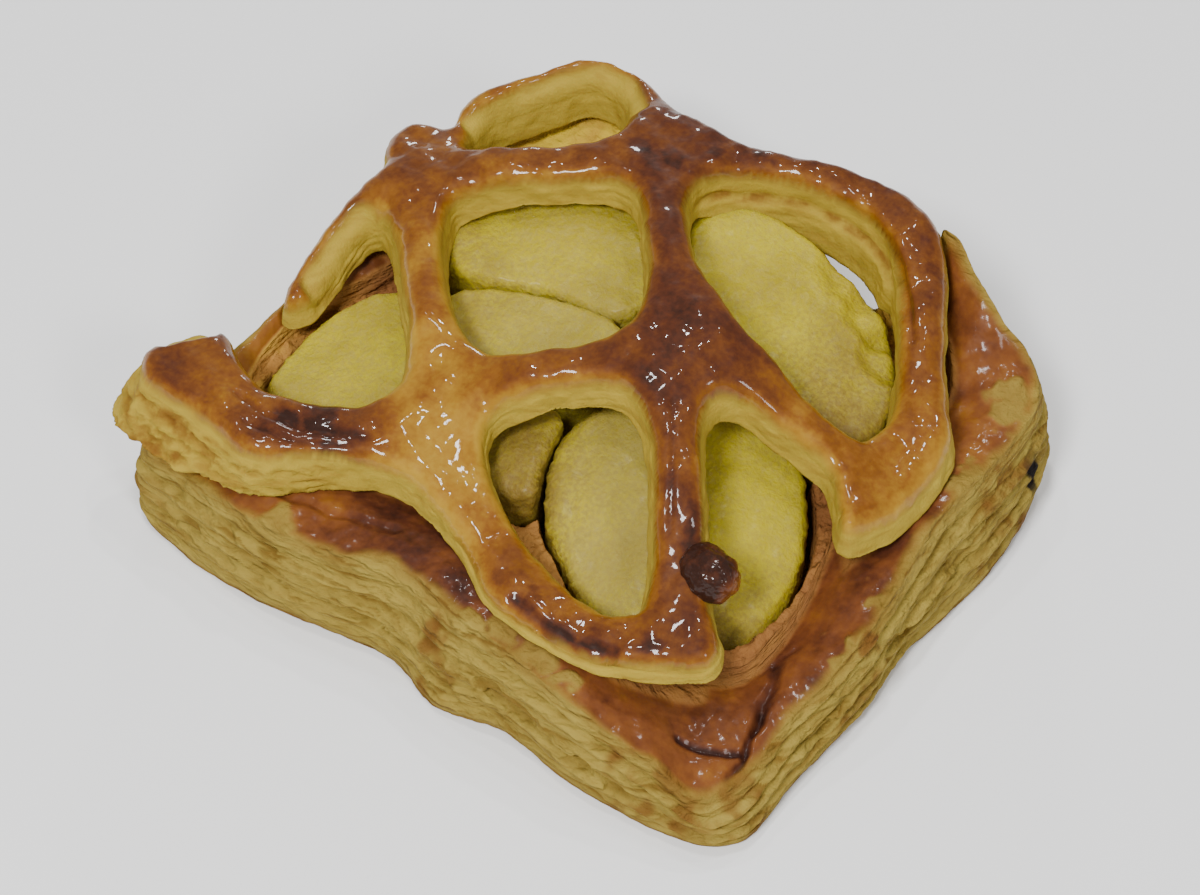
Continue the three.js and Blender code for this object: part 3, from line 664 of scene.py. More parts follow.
RIM_BARE = [                          # where the rim split and shows pale crumb: place and radius
    [48.6, 24, 3.2], [46.5, 39.6, 3.4], [-28, -41.5, 3], [8, -40.5, 2.5], [50, 0, 2.5], [49.2, -9, 2],
    [11, -36.7, 2.6], [17.1, -37.8, 3.2], [23.2, -38.8, 2.6],
]
WALL_STAINS = [                       # where the wall browned: place and radius
    [46, -39, 5], [38, -41, 6], [51, -35, 5], [53, 33, 5], [54, 26, 4], [53.5, -6, 3], [-57, -36, 5],
    [-56, -24, 4], [2, -43, 4],
]
TORN_POCKETS = [                      # holes in the wall: place, height, half length, half height
    (16, -42, 9.5, 7.0, 2.3), (28.5, -42.3, 7.5, 2.4, 1.5), (34, -42, 6, 2.2, 1.4),
    (-12, -42, 8, 4.5, 1.3), (-30, -44.5, 9, 4.0, 1.2), (-44, -44, 8, 3.5, 1.2), (3, -42.5, 6.5, 4.0, 1.2),
    (52.8, 2.2, 8.5, 5.0, 1.5), (52.7, 18, 10.5, 4.0, 1.4), (52.5, -18, 7, 4.0, 1.3),
]
CHAR = [[52.6, 37.9, 1.3], [53.2, 38.3, 1.7], [53.5, 37.4, 1.4]]   # the wall's one burnt patch
CHAR_HEIGHTS = ((6, 9), (17, 13))     # it fades in from its foot and out to its top
print("bake patches on the rim", len(RIM_BAKE), "and in the well", len(WELL_BAKE))

# %% [markdown]
# ## Where the apple slices lie
# Seven slices show through the openings. Each is a cut outline in plan with a tilted face, given as
# a point on the face and its rise along x and y. A swell widens a slice into its opening, and a
# worn spot (place, radius, depth) is a corner that cooked away. The case needs the outlines before
# the slices are made, because its soaked crumb wells up between them.

# %% Slices in plan
SLICES = {
    "apple_left": {
        "outline": [
            [-46, -23], [-48, -14], [-47.2, -5.5], [-42.4, 1.6], [-36, 3.2], [-29.2, -3],
            [-24.6, -10], [-26.6, -18.6], [-36, -24],
        ],
        "face": (-38, -10, 21, 0.15, 0.12),
    },
    "apple_middle_back": {
        "outline": [
            [-39.4, 13.4], [-39.6, 19], [-36.4, 24], [-27, 30.4], [-15.6, 35.2], [-9.6, 31.6],
            [-4.8, 21.2], [-7.6, 14.6], [-20, 12.5], [-28.6, 9.2], [-35.4, 8.4],
        ],
        "face": (-22, 20, 28.6, 0, 0.2),
    },
    "apple_middle_front": {
        "outline": [
            [-32.4, 2.4], [-28.4, 7.4], [-20.2, 11], [-8, 13.2], [-3, 11.4], [-1.9, 3],
            [-8.6, -3.4], [-18, -5.6], [-27, -2.6],
        ],
        "face": (-16, 4, 26, 0, 0.25),
    },
    "apple_right": {
        "outline": [
            [-8.8, 35.5], [-3.2, 42], [6, 43.6], [13.5, 42.8], [23, 40.8], [29.6, 34.4],
            [33.8, 27], [34, 20.8], [31.2, 15.8], [22.6, 15], [9.6, 17.4], [-0.4, 23],
            [-5.8, 29.4],
        ],
        "face": (14, 28, 26.6, -0.16, 0.16),
        "worn": [[17, 44, 6, 1.0], [24, 40.5, 6, 1.8], [29, 35, 5, 1.2]],
    },
    "apple_front": {
        "outline": [
            [-1.5, -8], [-1.4, -4], [1.5, 0.6], [6, 3.2], [11.8, 2.6], [16.2, -2.4],
            [20.6, -8.6], [25.2, -16.4], [26, -21.4], [21, -25.2], [15.2, -23.8], [8.8, -20],
            [3.5, -16.8], [0, -12],
        ],
        "face": (12, -12, 20, -0.05, 0.42),
        "swell": 0.6,
    },
    "apple_front_left": {
        "outline": [
            [-12.8, -14], [-12.4, -8.8], [-8.4, -5], [-4, -4.6], [-3, -8.3], [-1.7, -12.8],
            [-0.2, -16.4], [-4, -18.2], [-9.6, -17.6],
        ],
        "face": (-3, -10, 23.5, 0.1, 0.3),
        "swell": 0.6,
    },
    "apple_front_right": {
        "outline": [
            [12.8, 7], [13.6, 13.8], [19, 15.2], [26.4, 13.6], [31, 9.4], [34.8, 3.6],
            [37.2, -4], [37.4, -11.8], [35.6, -17.6], [30.4, -20], [25.9, -13.2], [20.9, -5.9],
            [16.4, 0.6],
        ],
        "face": (28, -2, 16, -0.3, 0.25),
    },
}
print("slices", list(SLICES))

# %% [markdown]
# ## The flaky wall
# Puff pastry splits into sheets as thin as paper. The wall gets the CAD's five bundles, finer
# layers that wander, split and close up, and torn pockets where steam blew the layers apart. A
# displacement texture would do for one even stack of layers, but these have to run together, so
# each layer is a saw tooth in a height that drifts along the wall.

# %% Relief of the wall
PROFILES = 1150                       # profiles round the case
WALL_ROUND = 55.0                     # rough distance of the wall from the pole
WALL_BELLY = 1.1                      # the wall swells outwards half way up
BUNDLES = 5                           # swollen bundles of layers in the wall
LAYER_RELIEF = 0.8                    # how far each bundle stands proud
LEAVES = (1.9, 0.95)                  # heights of the thick and the thin layers in the wall
CELL_RELIEF = 0.75                    # the thin layers stand this far out of the hollows
POCKET_DEEP = 1.3                     # depth of a torn pocket


def wall_place(bearing, height, stretch=1.0):
    """Places along the wall for noise that is stretched along it and meets itself all round."""
    round_it = WALL_ROUND / stretch
    return np.column_stack([round_it * np.cos(bearing), round_it * np.sin(bearing), height])


def wall_leaves(bearing, height):
    """How far the thin layers stand out, from 0 to about 1, and the painted shade in the gaps over them."""
    drift = height + 1.7 * ripple(wall_place(bearing, height * 0.3), 17, 60)
    drift = drift + 0.8 * ripple(wall_place(bearing, height * 0.6), 6, 62)
    ledges, gap_shade = 0.0, 0.0
    for count, leaf in enumerate(LEAVES):
        phase = (drift + 0.35 * ripple(wall_place(bearing, drift), 2.5, 72 + count)) / leaf % 1
        loose = ripple(wall_place(bearing, drift * 1.5, 1.8), 7 / (count + 1), 64 + count)
        loose = smoothstep(-0.35, 0.45, loose)
        ledges = ledges + (1 - phase) * smoothstep(0.0, 0.14, phase) * loose * (0.6 - 0.2 * count)
        gap_shade = np.maximum(gap_shade, smoothstep(0.62, 0.98, phase) * loose * (1 - 0.35 * count))
    thick_webs = veins(wall_place(bearing, drift, 4.0), 3.2, 61)
    webs = np.maximum(thick_webs, 0.8 * veins(wall_place(bearing, drift, 2.2), 1.6, 63))
    return 0.65 * ledges + 0.45 * webs, 0.75 * gap_shade + 0.35 * (1 - webs)


def wall_pockets(bearing, height):
    """1 in the torn pockets of one row of the wall, and 0 outside them."""
    ragged = 0.35 * crumple(wall_place(bearing, height) * [1, 1, 2], 3.0, 2, 66)
    pocket = np.zeros_like(bearing)
    for x, y, z, half_long, half_tall in TORN_POCKETS:
        turn = bearing - math.atan2(y - POLE[1], x - POLE[0])
        along = WALL_ROUND * ((turn + math.pi) % math.tau - math.pi)
        size = np.hypot(along / half_long, (height - z + 0.12 * along) / half_tall)
        pocket = np.maximum(pocket, smoothstep(1.05, 0.75, size + ragged))
    return pocket


def wall_relief(bearing, up, height):
    """How far one row of the wall stands out, how much painted shade it gets in its gaps and pockets, and
    how brown it is there.
    """
    calm = np.minimum(1, 5 * up * (1 - up) + 0.1)
    phase = 2 * BUNDLES * up
    wander = np.sin(5 * bearing + 1.7 * phase) + 0.6 * np.sin(11 * bearing - 2.3 * phase)
    bundle = -np.cos(math.pi * phase) * (0.65 + 0.35 * wander) * calm
    cells, gap_shade = wall_leaves(bearing, height)
    pocket = wall_pockets(bearing, height)
    push = LAYER_RELIEF * bundle + CELL_RELIEF * (cells - 0.5) * calm * (1 - pocket)
    push = push - POCKET_DEEP * pocket * calm + 0.18 * crumple(wall_place(bearing, height), 3.2, 3, 67)
    rusty = smoothstep(0.20, 0.85, ripple(wall_place(bearing, height * 1.4, 2.0), 9, 68)) * (1 - cells)
    return push, np.maximum(gap_shade * (1 - 0.6 * pocket), 0.5 * pocket), np.maximum(rusty, 0.35 * pocket)


relief_sample = wall_relief(np.linspace(0, math.tau, PROFILES), 0.5, np.full(PROFILES, 10.0))[0]
print("wall relief half way up", relief_sample.min().round(2), "to", relief_sample.max().round(2), "mm")

# %% [markdown]
# ## Rows of the case
# The case is built like a pot: rows of points round the pole, from the middle of the underside out,
# up the wall, over the rim, down the well and back to the middle. Each row says how far out and how
# high it is, and what it is (glazed, hollow, rusty or wall), so that the finish can put painted
# shade in a gap and keep a layer pale.

# %% Rows of the case
CASE_FLOOR = 7.0                      # top of the pastry under the filling
FLAT_INSET = 6.0                      # the underside is flat to this far inside its edge
FOOT_CURL = {"wide": 5.6, "share": 0.9}   # from there the baked edge curls up off the tray
RIM_CREST = 1.3                       # the glazed rim is a little domed between lip and well
LIP_STEP = 0.2                        # the rim starts this far above the torn lip
WELL_SLOPE = 3.2                      # width of the well's steep side
ROWS = {"wall": 110, "rim": 46, "well": 16, "floor": 64}
MARKS = ("glazed", "hollow", "rust", "wall")


def underside_rows(foot_r, foot_z):
    for share in (0.0, 0.3, 0.6, 0.8):
        yield share * (foot_r - FLAT_INSET), 0.0, {"rust": 0.6}
    for share in np.linspace(0, 1, 8)[:-1]:
        curl = smoothstep(0.3, 1.0, share)
        reach = foot_r - FLAT_INSET + FOOT_CURL["wide"] * share
        yield reach, FOOT_CURL["share"] * foot_z * curl, {"rust": 0.8, "wall": curl}


def wall_rows(bearing, foot, lip, lip_tear):
    for up in np.linspace(0, 1, ROWS["wall"]):
        height = lerp(foot[1], lip[1] + lip_tear * up, up)
        push, hollow, rust = wall_relief(bearing, up, height)
        browned = 0.84 * smoothstep(0.07, 0.0, up) + 0.54 * smoothstep(0.78, 1.0, up)
        reach = lerp(foot[0], lip[0], up) + WALL_BELLY * math.sin(math.pi * up) + push
        yield reach, height, {"hollow": hollow, "rust": np.maximum(rust, browned), "wall": 1.0}


def rim_rows(bearing, lip, well, lip_push, lip_tear):
    for across in np.linspace(0.02, 1, ROWS["rim"]):
        near_lip = smoothstep(0.3, 0.0, across)
        reach = lerp(lip[0], well[0], across) + lip_push * near_lip
        where = np.column_stack([reach * np.cos(bearing), reach * np.sin(bearing), 0 * bearing])
        crest = RIM_CREST * math.sin(math.pi * across)
        height = lerp(lip[1] + LIP_STEP, well[1], across) + crest + lip_tear * near_lip
        height = height + 0.45 * crumple(where, 8, 3, 71) + 0.10 * crumple(where, 1.8, 2, 75)
        from_lip = across * (lip[0] - well[0])
        glazed = smoothstep(-0.4, 2.0, from_lip + 1.1 * crumple(where, 12, 3, 76))
        glazed = glazed * smoothstep(1.02, 0.9, across)
        dry = smoothstep(3.0, 1.0, from_lip)
        yield reach, height, {"glazed": glazed, "hollow": 0.3, "rust": 0.5, "wall": dry}


def well_rows(bearing, well_r, well_z):
    for down in np.linspace(0, 1, ROWS["well"])[1:]:
        rough = 0.5 * crumple(wall_place(bearing, 8 * down + 0 * bearing), 2.5, 3, 81)
        reach = well_r - WELL_SLOPE * down + rough * math.sin(math.pi * down)
        yield reach, lerp(well_z, CASE_FLOOR + 0.4, down), {"hollow": 0.5}
    for inward in np.linspace(0, 1, ROWS["floor"])[1:]:
        yield (well_r - WELL_SLOPE) * (1 - inward), CASE_FLOOR + 0.3 * (1 - inward), {"hollow": 0.5}


def stack_rows(bearing, rows):
    """All rows as points in plan and height, and one array for each mark."""
    def whole(values):
        return np.array([np.broadcast_to(value, PROFILES) for value in values], float)

    reach, height = whole([row[0] for row in rows]), whole([row[1] for row in rows])
    x, y = POLE[0] + reach * np.cos(bearing), POLE[1] + reach * np.sin(bearing)
    marks = {mark: whole([row[2].get(mark, 0.0) for row in rows]).ravel() for mark in MARKS}
    return np.column_stack([x.ravel(), y.ravel(), height.ravel()]), marks


print("rows have the marks", MARKS)

# %% [markdown]
# ## What the lattice and the juice did
# The lattice rests on the rim, so the rim is pressed down under it. Where no slice lies, the soaked
# crumb swelled up out of the floor; without that the gaps between the slices would be black holes.
# The rim's pinched folds are pressed in last, with painted shade along them.

# %% Press, swell and crease
SHEET_GAP = 0.15                      # clear space between the rim and the lattice on it
SHEET_CLEAR = (0.5, 1.1)              # the rim may rise again from here to here off the lattice's edge
RIM_LOWEST = 9.0                      # nothing lower than this can touch the lattice
SPONGE = {"top": 15.6, "rise": (0.5, 1.7)}   # how high the crumb swells, this far from a slice


def press_under_lattice(points, glazed):
    """Lower the case where the lattice lies on it, and end its glaze there."""
    under = np.flatnonzero(points[:, 2] > RIM_LOWEST)
    x, y, height = points[under].T
    away, _, _ = nearest_cut(points[under, :2], sheet_rings[:1])
    top, thick = sheet_at(x, y)
    room = np.minimum(height, np.maximum(top - thick - SHEET_GAP, CASE_FLOOR))
    points[under, 2] = lerp(room, height, smoothstep(*SHEET_CLEAR, away))
    glazed[under] *= smoothstep(-2.5, -0.5, away)


def swell_crumb(points):
    """Raise the floor of the well where no slice stands."""
    rings = [turned(even_ring(shape["outline"], 2.0), clockwise=False) for shape in SLICES.values()]
    gap, _, _ = nearest_cut(points[:, :2], rings)
    crumb = SPONGE["top"] + 0.7 * crumple(points * [1, 1, 0], 2.2, 3, 94)
    crumb = lerp(CASE_FLOOR, crumb, smoothstep(*SPONGE["rise"], gap))
    return np.maximum(points[:, 2], crumb)


def crease_rim(points, glazed, wall):
    """Press the pinched folds into the rim, and say how much painted shade darkens each point."""
    shaky = points[:, :2] + 0.5 * crumple(points, 4, 2, 93)[:, None]
    dark = np.zeros(len(points))
    for deep, wide, darker, line in RIM_CREASES:
        groove = smoothstep(wide, 0.0, line_distance(shaky, line)) * np.maximum(glazed, 0.3 * wall)
        points[:, 2] -= deep * groove
        dark = np.maximum(dark, darker * groove)
    return dark


print("creases in the rim", len(RIM_CREASES))

# %% [markdown]
# ## The case, put together
# Rows become one closed mesh of quads. Its painted values say how each point baked and where it
# has painted shade; ragged noise keeps the bare, stained and burnt places from looking like the
# round patches they are written as.

# %% Case mesh


def case_paint(points, marks, painted_crease_shade):
    """What each point of the case is, for the finish."""
    plan, height = points[:, :2], points[:, 2]
    glazed, wall = marks["glazed"], marks["wall"]
    torn = crumple(points, 5, 3, 92)
    bald = near_discs(plan + 2.4 * torn[:, None] * [1, -1], RIM_BARE)
    char = near_discs(plan + 1.5 * torn[:, None], CHAR)
    for fade in CHAR_HEIGHTS:
        char = char * smoothstep(*fade, height)
    stained = near_discs(plan, WALL_STAINS) * smoothstep(-0.7, 0.8, torn) * wall
    soaked = (1 - glazed) * (1 - wall)
    bake = lerp(bake_at(plan, RIM_BAKE), bake_at(plan, WELL_BAKE), soaked)
    bake = bake + 0.12 * crumple(points, 7, 3, 91) - 0.25 * (1 - glazed) * (1 - soaked)
    # bake also carries the painted shade along the rim's creases
    return {
        "bake": bake + painted_crease_shade, "glazed": glazed * (1 - 0.9 * bald), "hollow": marks["hollow"],
        "rust": np.maximum(marks["rust"], 0.95 * stained), "wall": np.maximum(wall, bald), "char": char,
    }


def row_quads(count):
    """Quads between each row and the next."""
    this = np.arange(PROFILES)
    after = (this + 1) % PROFILES
    loop = np.column_stack([this, after, PROFILES + after, PROFILES + this])
    return np.concatenate([loop + row * PROFILES for row in range(count - 1)]).tolist()


def make_case():
    bearing = np.linspace(0, math.tau, PROFILES, endpoint=False)
    foot, lip, well = (by_bearing(ring, bearing) for ring in (FOOT, LIP, WELL))
    lip_tear = 0.5 * crumple(wall_place(bearing, 0 * bearing), 6.0, 2, 51)
    lip_push, _, _ = wall_relief(bearing, 1.0, lerp(foot[1], lip[1] + lip_tear, 1.0))
    rows = [*underside_rows(*foot), *wall_rows(bearing, foot, lip, lip_tear)]
    rows += rim_rows(bearing, lip, well, lip_push, lip_tear)
    outer = len(rows) * PROFILES
    rows += well_rows(bearing, *well)
    points, marks = stack_rows(bearing, rows)
    press_under_lattice(points, marks["glazed"])
    points[outer:, 2] = swell_crumb(points[outer:])
    painted_crease_shade = crease_rim(points, marks["glazed"], marks["wall"])
    print("case", len(points), "points; z", points[:, 2].min().round(1), "to", points[:, 2].max().round(1))
    return points, row_quads(len(rows)), case_paint(points, marks, painted_crease_shade)


case = mesh_object("case_flaky", *make_case())
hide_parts("case")
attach(case, "root")

# %% [markdown]
# ## Apple slices
# The slices are wedges whose soft cut faces tilt up out of the well. Each starts as a slab along
# its outline, as the lattice did; the top is set on its tilted face, the edge is rounded, and fine
# bumps along the normals make the grain of cooked apple.

# %% Apple meshes
# The brown column is browned flesh and also painted shade on the lower, shaded parts of the right and front
# slices.
FLESH_TINT = np.array([               # place, how pale and mealy, how brown
    [-3, 39, 0.30, 0.00], [4, 33, 0.10, 0.10], [14, 33, 0.00, 0.30], [20, 25, 0.10, 0.62],
    [28, 20, 0.20, 0.95], [7, 26, 0.00, 0.35], [30, 29, 0.10, 0.60], [24, 38, 0.10, 0.40],
    [-30, 20, 0.35, 0.00], [-12, 26, 0.30, 0.05], [-39, 16, 0.10, 0.80], [-12, 18, 0.50, 0.10],
    [-16, 7, 0.80, 0.15], [-28, 5, 0.40, 0.50], [-6, 8, 0.70, 0.10], [-44, -8, 0.35, 0.00],
    [-36, -16, 0.50, 0.15], [-40, 0, 0.30, 0.10], [8, -4, 1.00, 0.12], [15, -15, 0.90, 0.28],
    [3, -8, 0.70, 0.35], [21, -20, 0.80, 0.25], [-8, -10, 0.20, 0.60], [-2, -13, 0.10, 0.90],
    [17, 12, 0.30, 0.10], [28, 4, 0.15, 0.06], [35, -6, 0.10, 0.45], [32, -15, 0.00, 0.70],
])
SLICE_TALL = 10.0                     # of the flat slab that a slice starts as
SLICE_ROUND = 1.5                     # the cut edges of a slice are only a little worn
SLICE_LIFT = 3.0                      # height over which the lower edge rolls in
SLICE_FOOT = CASE_FLOOR + 0.8         # the slices stand just clear of the case's floor


def make_slice(seed, outline, face, swell=0.0, worn=()):
    ring = turned(even_ring(outline, 1.5), clockwise=False)
    flat, faces, outward, place, depth_in = cut_slab([ring], SLICE_TALL)
    x, y, share = flat[:, 0], flat[:, 1], np.clip(flat[:, 2] / SLICE_TALL, 0, 1)
    near = np.clip(1 - depth_in / SLICE_ROUND, 0, 1)
    roll = 0.85 * SLICE_ROUND * (1 - np.sqrt(1 - near**2))
    face_x, face_y, face_z, rise_x, rise_y = face
    top = face_z + rise_x * (x - face_x) + rise_y * (y - face_y) + 0.3 * blister(y, x)
    top = top + 0.35 * ripple(np.column_stack([x, y, 0 * x]), 9, seed)
    for spot_x, spot_y, radius, depth in worn:
        top = top - depth * near_discs(flat[:, :2], [[spot_x, spot_y, radius]])
    upper = top - roll - SLICE_TALL * (1 - share)
    lower = SLICE_FOOT + 2 * SLICE_LIFT * share
    z = lerp(lower, upper, smoothstep(0.4, 0.6, share))
    verts = np.column_stack([x, y, np.maximum(z, SLICE_FOOT)])
    ragged = 0.05 - swell + 0.25 * crumple(np.column_stack([place, 0 * x, z]), 1.6, 2, seed + 2)
    verts[:, :2] -= outward * (ragged * smoothstep(0.4, 1.0, near))[:, None]
    bumps = 0.14 * crumple(verts, 1.8, 2, seed + 1)
    verts = verts + normals_of(verts, faces) * bumps[:, None]
    pale, brown = (spread(x, y, FLESH_TINT, BAKE_REACH) @ FLESH_TINT[:, 2:]).T
    # deep: painted shade low down a slice's sides, in the narrow gaps between slices
    deep = smoothstep(3.5, 0.5, z - lerp(SLICE_FOOT, top, 0.5))
    rim = near * smoothstep(0.5, 0.9, share)
    return verts, faces, {"rim": rim, "pale": pale, "brown": brown, "deep": deep}


slices = {}
for seed, (name, shape) in enumerate(SLICES.items(), 101):
    slices[name] = mesh_object(name + "_flesh", *make_slice(seed, **shape))
    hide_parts(name)
    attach(slices[name], "root")
print("slices", {name: len(piece.data.vertices) for name, piece in slices.items()})

# %% [markdown]
# ## Shader arithmetic
# A finish is easier to read as sums than as boxes and wires. This class holds one socket of a
# material, and adding or multiplying two of them lays the Math node that does it.

# %% Wires


class Wire:
    """One output socket of a material, which can be used like a number."""

    def __init__(self, tree, socket=None):
        self.tree = tree
        self.socket = socket

    def node(self, kind, settings=None, sockets=None, out=0):
        made = self.tree.nodes.new(kind)
        for key, value in (settings or {}).items():
            if key == "stops":
                ramp = made.color_ramp
                while len(ramp.elements) < len(value):
                    ramp.elements.new(0.5)
                for element, (place, colour) in zip(ramp.elements, value):
                    element.position = place
                    element.color = (*colour, 1.0)
            else:
                setattr(made, key, value)
        for key, value in (sockets or {}).items():
            if isinstance(value, Wire):
                self.tree.links.new(value.socket, made.inputs[key])
            else:
                made.inputs[key].default_value = value
        return Wire(self.tree, made.outputs[out] if made.outputs else None)

    def maths(self, operation, first, second=0.0):
        return self.node("ShaderNodeMath", {"operation": operation}, {0: first, 1: second})

    def __add__(self, other):
        return self.maths("ADD", self, other)

    __radd__ = __add__

    def __sub__(self, other):
        return self.maths("SUBTRACT", self, other)

    def __rsub__(self, other):
        return self.maths("SUBTRACT", other, self)

    def __mul__(self, other):
        return self.maths("MULTIPLY", self, other)

    __rmul__ = __mul__

    def __pow__(self, other):
        return self.maths("POWER", self, other)

    def __abs__(self):
        return self.maths("ABSOLUTE", self)

    def step(self, low, high, to_low=0.0, to_high=1.0):
        """An easy S from one value to another as this goes from low to high."""
        return self.node(
            "ShaderNodeMapRange", {"interpolation_type": "SMOOTHSTEP"},
            {"Value": self, "From Min": low, "From Max": high, "To Min": to_low, "To Max": to_high},
        )

    def blend(self, a, b):
        """Colour a where this is 0, and colour b where it is 1."""
        colours = [c if isinstance(c, Wire) else (*c, 1.0) for c in (a, b)]
        return self.node(
            "ShaderNodeMix", {"data_type": "RGBA"}, {0: self, 6: colours[0], 7: colours[1]}, out=2
        )

    def painted(self, name):
        """A value that was painted on the mesh."""
        return self.node("ShaderNodeAttribute", {"attribute_name": name}, out="Fac")

    def grain(self, size, detail=2.0, stretch=(1, 1, 1), roughness=0.5):
        """Noise whose lumps are about size millimetres across."""
        place = self.node("ShaderNodeTexCoord", out="Object")
        scaled = self.node(
            "ShaderNodeVectorMath", {"operation": "MULTIPLY"},
            {0: place, 1: tuple(1000.0 * s / size for s in stretch)},
        )
        return self.node(
            "ShaderNodeTexNoise", {},
            {"Vector": scaled, "Scale": 1.0, "Detail": detail, "Roughness": roughness},
        )

    def ramp(self, stops):
        return self.node("ShaderNodeValToRGB", {"stops": stops}, {"Fac": self})


def new_finish(name, piece_list, skin_sockets, build):
    """A material whose shader's varying sockets come from build; the plain ones are set here."""
    material = bpy.data.materials.new(name)
    material.use_nodes = True
    tree = material.node_tree
    tree.nodes.clear()
    wire = Wire(tree)
    skin = wire.node("ShaderNodeBsdfPrincipled", {}, {**skin_sockets, **build(wire)})
    wire.node("ShaderNodeOutputMaterial", {}, {"Surface": skin})
    for piece in piece_list:
        piece.data.materials.append(material)
    print(name, "has", len(tree.nodes), "nodes")
    return material


# %% [markdown]
# ## Glazed pastry
# Egg wash bakes to a thin hard varnish. Under it the crust runs from golden through orange-brown
# to nearly black, in patches and fine freckles. The cut sides have no glaze: they are cream, with
# darker lines where one layer ends, and painted shade in the hollows between fanned layers. One ramp
# carries the bake and the painted masks choose.

# %% Glazed finish
CRUST = [
    (0.00, (0.37, 0.215, 0.022)), (0.25, (0.29, 0.140, 0.012)), (0.45, (0.20, 0.072, 0.009)),
    (0.62, (0.13, 0.040, 0.008)), (0.80, (0.077, 0.021, 0.008)), (1.00, (0.028, 0.010, 0.006)),
]
CREAM = (0.38, 0.27, 0.034)
CREAM_SHADE_AND_TONE = (0.26, 0.155, 0.020)
SEAM_BROWN = (0.17, 0.070, 0.011)


def glazed_finish(wire):
    bake, glazed, seam, hollow = (wire.painted(name) for name in ("bake", "glazed", "seam", "hollow"))
    mottle = wire.grain(5.0, 4.0) - 0.5
    freckle = wire.grain(0.9, 3.0) - 0.5
    crust = (bake + mottle * 0.42 + freckle * 0.34).ramp(CRUST)
    layers = wire.grain(2.2, 4.0, (0.35, 0.35, 2.0)).step(0.42, 0.70)
    # hollow darkens the cream as painted shade between the fanned layers; layers is the cream's own tone
    dry = (layers * 0.5 + hollow * 0.5).step(0.0, 1.0).blend(CREAM, CREAM_SHADE_AND_TONE)
    side = (seam * wire.grain(3.0, 3.0).step(0.30, 0.70, 0.35, 1.0)).step(0.1, 1.2).blend(dry, SEAM_BROWN)
    wrinkles = wire.grain(2.5, 1.5) * 0.85 + wire.grain(0.6, 2.0) * 0.08
    crumb = wire.grain(2.4, 3.0) * 0.6 + wire.grain(0.5, 3.0) * 0.5
    height = wrinkles * glazed + crumb * (1.0 - glazed)
    bump = wire.node("ShaderNodeBump", {}, {"Height": height, "Strength": 0.5, "Distance": 0.0005})
    return {
        "Base Color": glazed.blend(side, crust),
        "Roughness": glazed.step(0.2, 0.8, 0.65, 0.45),
        "Coat Weight": glazed.step(0.3, 0.9, 0.0, 0.55),
        "Normal": bump,
    }


new_finish(
    "egg_glazed_crust", [lattice, knob],
    {"Subsurface Weight": 0.12, "Subsurface Scale": 0.0015, "Subsurface Radius": (1.0, 0.5, 0.2),
     "Coat Roughness": 0.05, "Coat IOR": 1.4, "Specular IOR Level": 0.06},
    glazed_finish,
)

# %% [markdown]
# ## Flaky case
# The wall is dry: cream layers, golden in patches, with painted shade in the gaps and pockets
# between them, and brown in the splits. The rim had egg wash too, but thinner, and the apple juice
# stained it a purplish brown. The well is soaked.

# %% Case finish
RIM_CRUST = [
    (0.00, (0.31, 0.190, 0.028)), (0.30, (0.23, 0.090, 0.015)), (0.50, (0.17, 0.056, 0.013)),
    (0.65, (0.13, 0.040, 0.012)), (0.82, (0.075, 0.022, 0.010)), (1.00, (0.028, 0.010, 0.007)),
]
SOAKED = [(0.00, (0.70, 0.50, 0.040)), (0.45, (0.36, 0.175, 0.040)), (0.90, (0.20, 0.080, 0.025))]
WALL_CREAM = (0.310, 0.225, 0.044)
WALL_GOLD_AND_SHADE = (0.150, 0.086, 0.014)
WALL_RUST = (0.14, 0.058, 0.012)
CHARRED = (0.012, 0.009, 0.008)


def case_finish(wire):
    names = ("bake", "glazed", "hollow", "rust", "wall", "char")
    bake, glazed, hollow, rust, wall, char = (wire.painted(name) for name in names)
    mottle = wire.grain(6.0, 4.0) - 0.5
    rim = (bake + mottle * 0.75 + (wire.grain(1.1, 3.0) - 0.5) * 0.30).ramp(RIM_CRUST)
    soaked = (bake + mottle * 0.5).ramp(SOAKED)
    patch = wire.grain(9.0, 4.0, (1, 1, 1.6)).step(0.45, 0.68)
    threads = wire.grain(1.6, 4.0, (0.25, 0.25, 1.6)).step(0.45, 0.7)
    crinkle = abs(wire.grain(3.0, 5.0, (0.4, 0.4, 1.5)) - 0.5).step(0.0, 0.14)
    # hollow is painted shade in the gaps, hollows and torn pockets of the wall; patch and threads vary its
    # tone
    shaded = hollow * 0.75 + patch * 0.25 + threads * 0.15 + (1.0 - crinkle) * 0.25
    dry = shaded.step(0.1, 1.15).blend(WALL_CREAM, WALL_GOLD_AND_SHADE)
    stain = (rust + mottle * 0.8).step(0.20, 1.20)
    side = char.blend(stain.blend(dry, WALL_RUST), CHARRED)
    inner = wall.step(0.1, 0.6).blend(soaked, side)
    crumb = wire.grain(0.6, 3.0) * 0.3 + crinkle * 0.7 + wire.grain(2.2, 4.0, (0.25, 0.25, 1.4)) * 0.5
    height = crumb * (1.0 - glazed) + wire.grain(2.5, 2.0) * glazed * 0.45
    bump = wire.node("ShaderNodeBump", {}, {"Height": height, "Strength": 0.8, "Distance": 0.0008})
    return {
        "Base Color": glazed.blend(inner, rim),
        "Roughness": glazed.step(0.2, 0.8, 0.75, 0.45),
        "Coat Weight": glazed.step(0.4, 1.0, 0.0, 0.28),
        "Normal": bump,
    }


new_finish(
    "flaky_crust", [case],
    {"Subsurface Weight": 0.05, "Subsurface Scale": 0.001, "Subsurface Radius": (1.0, 0.5, 0.2),
     "Coat Roughness": 0.12, "Coat IOR": 1.4, "Specular IOR Level": 0.06},
    case_finish,
)

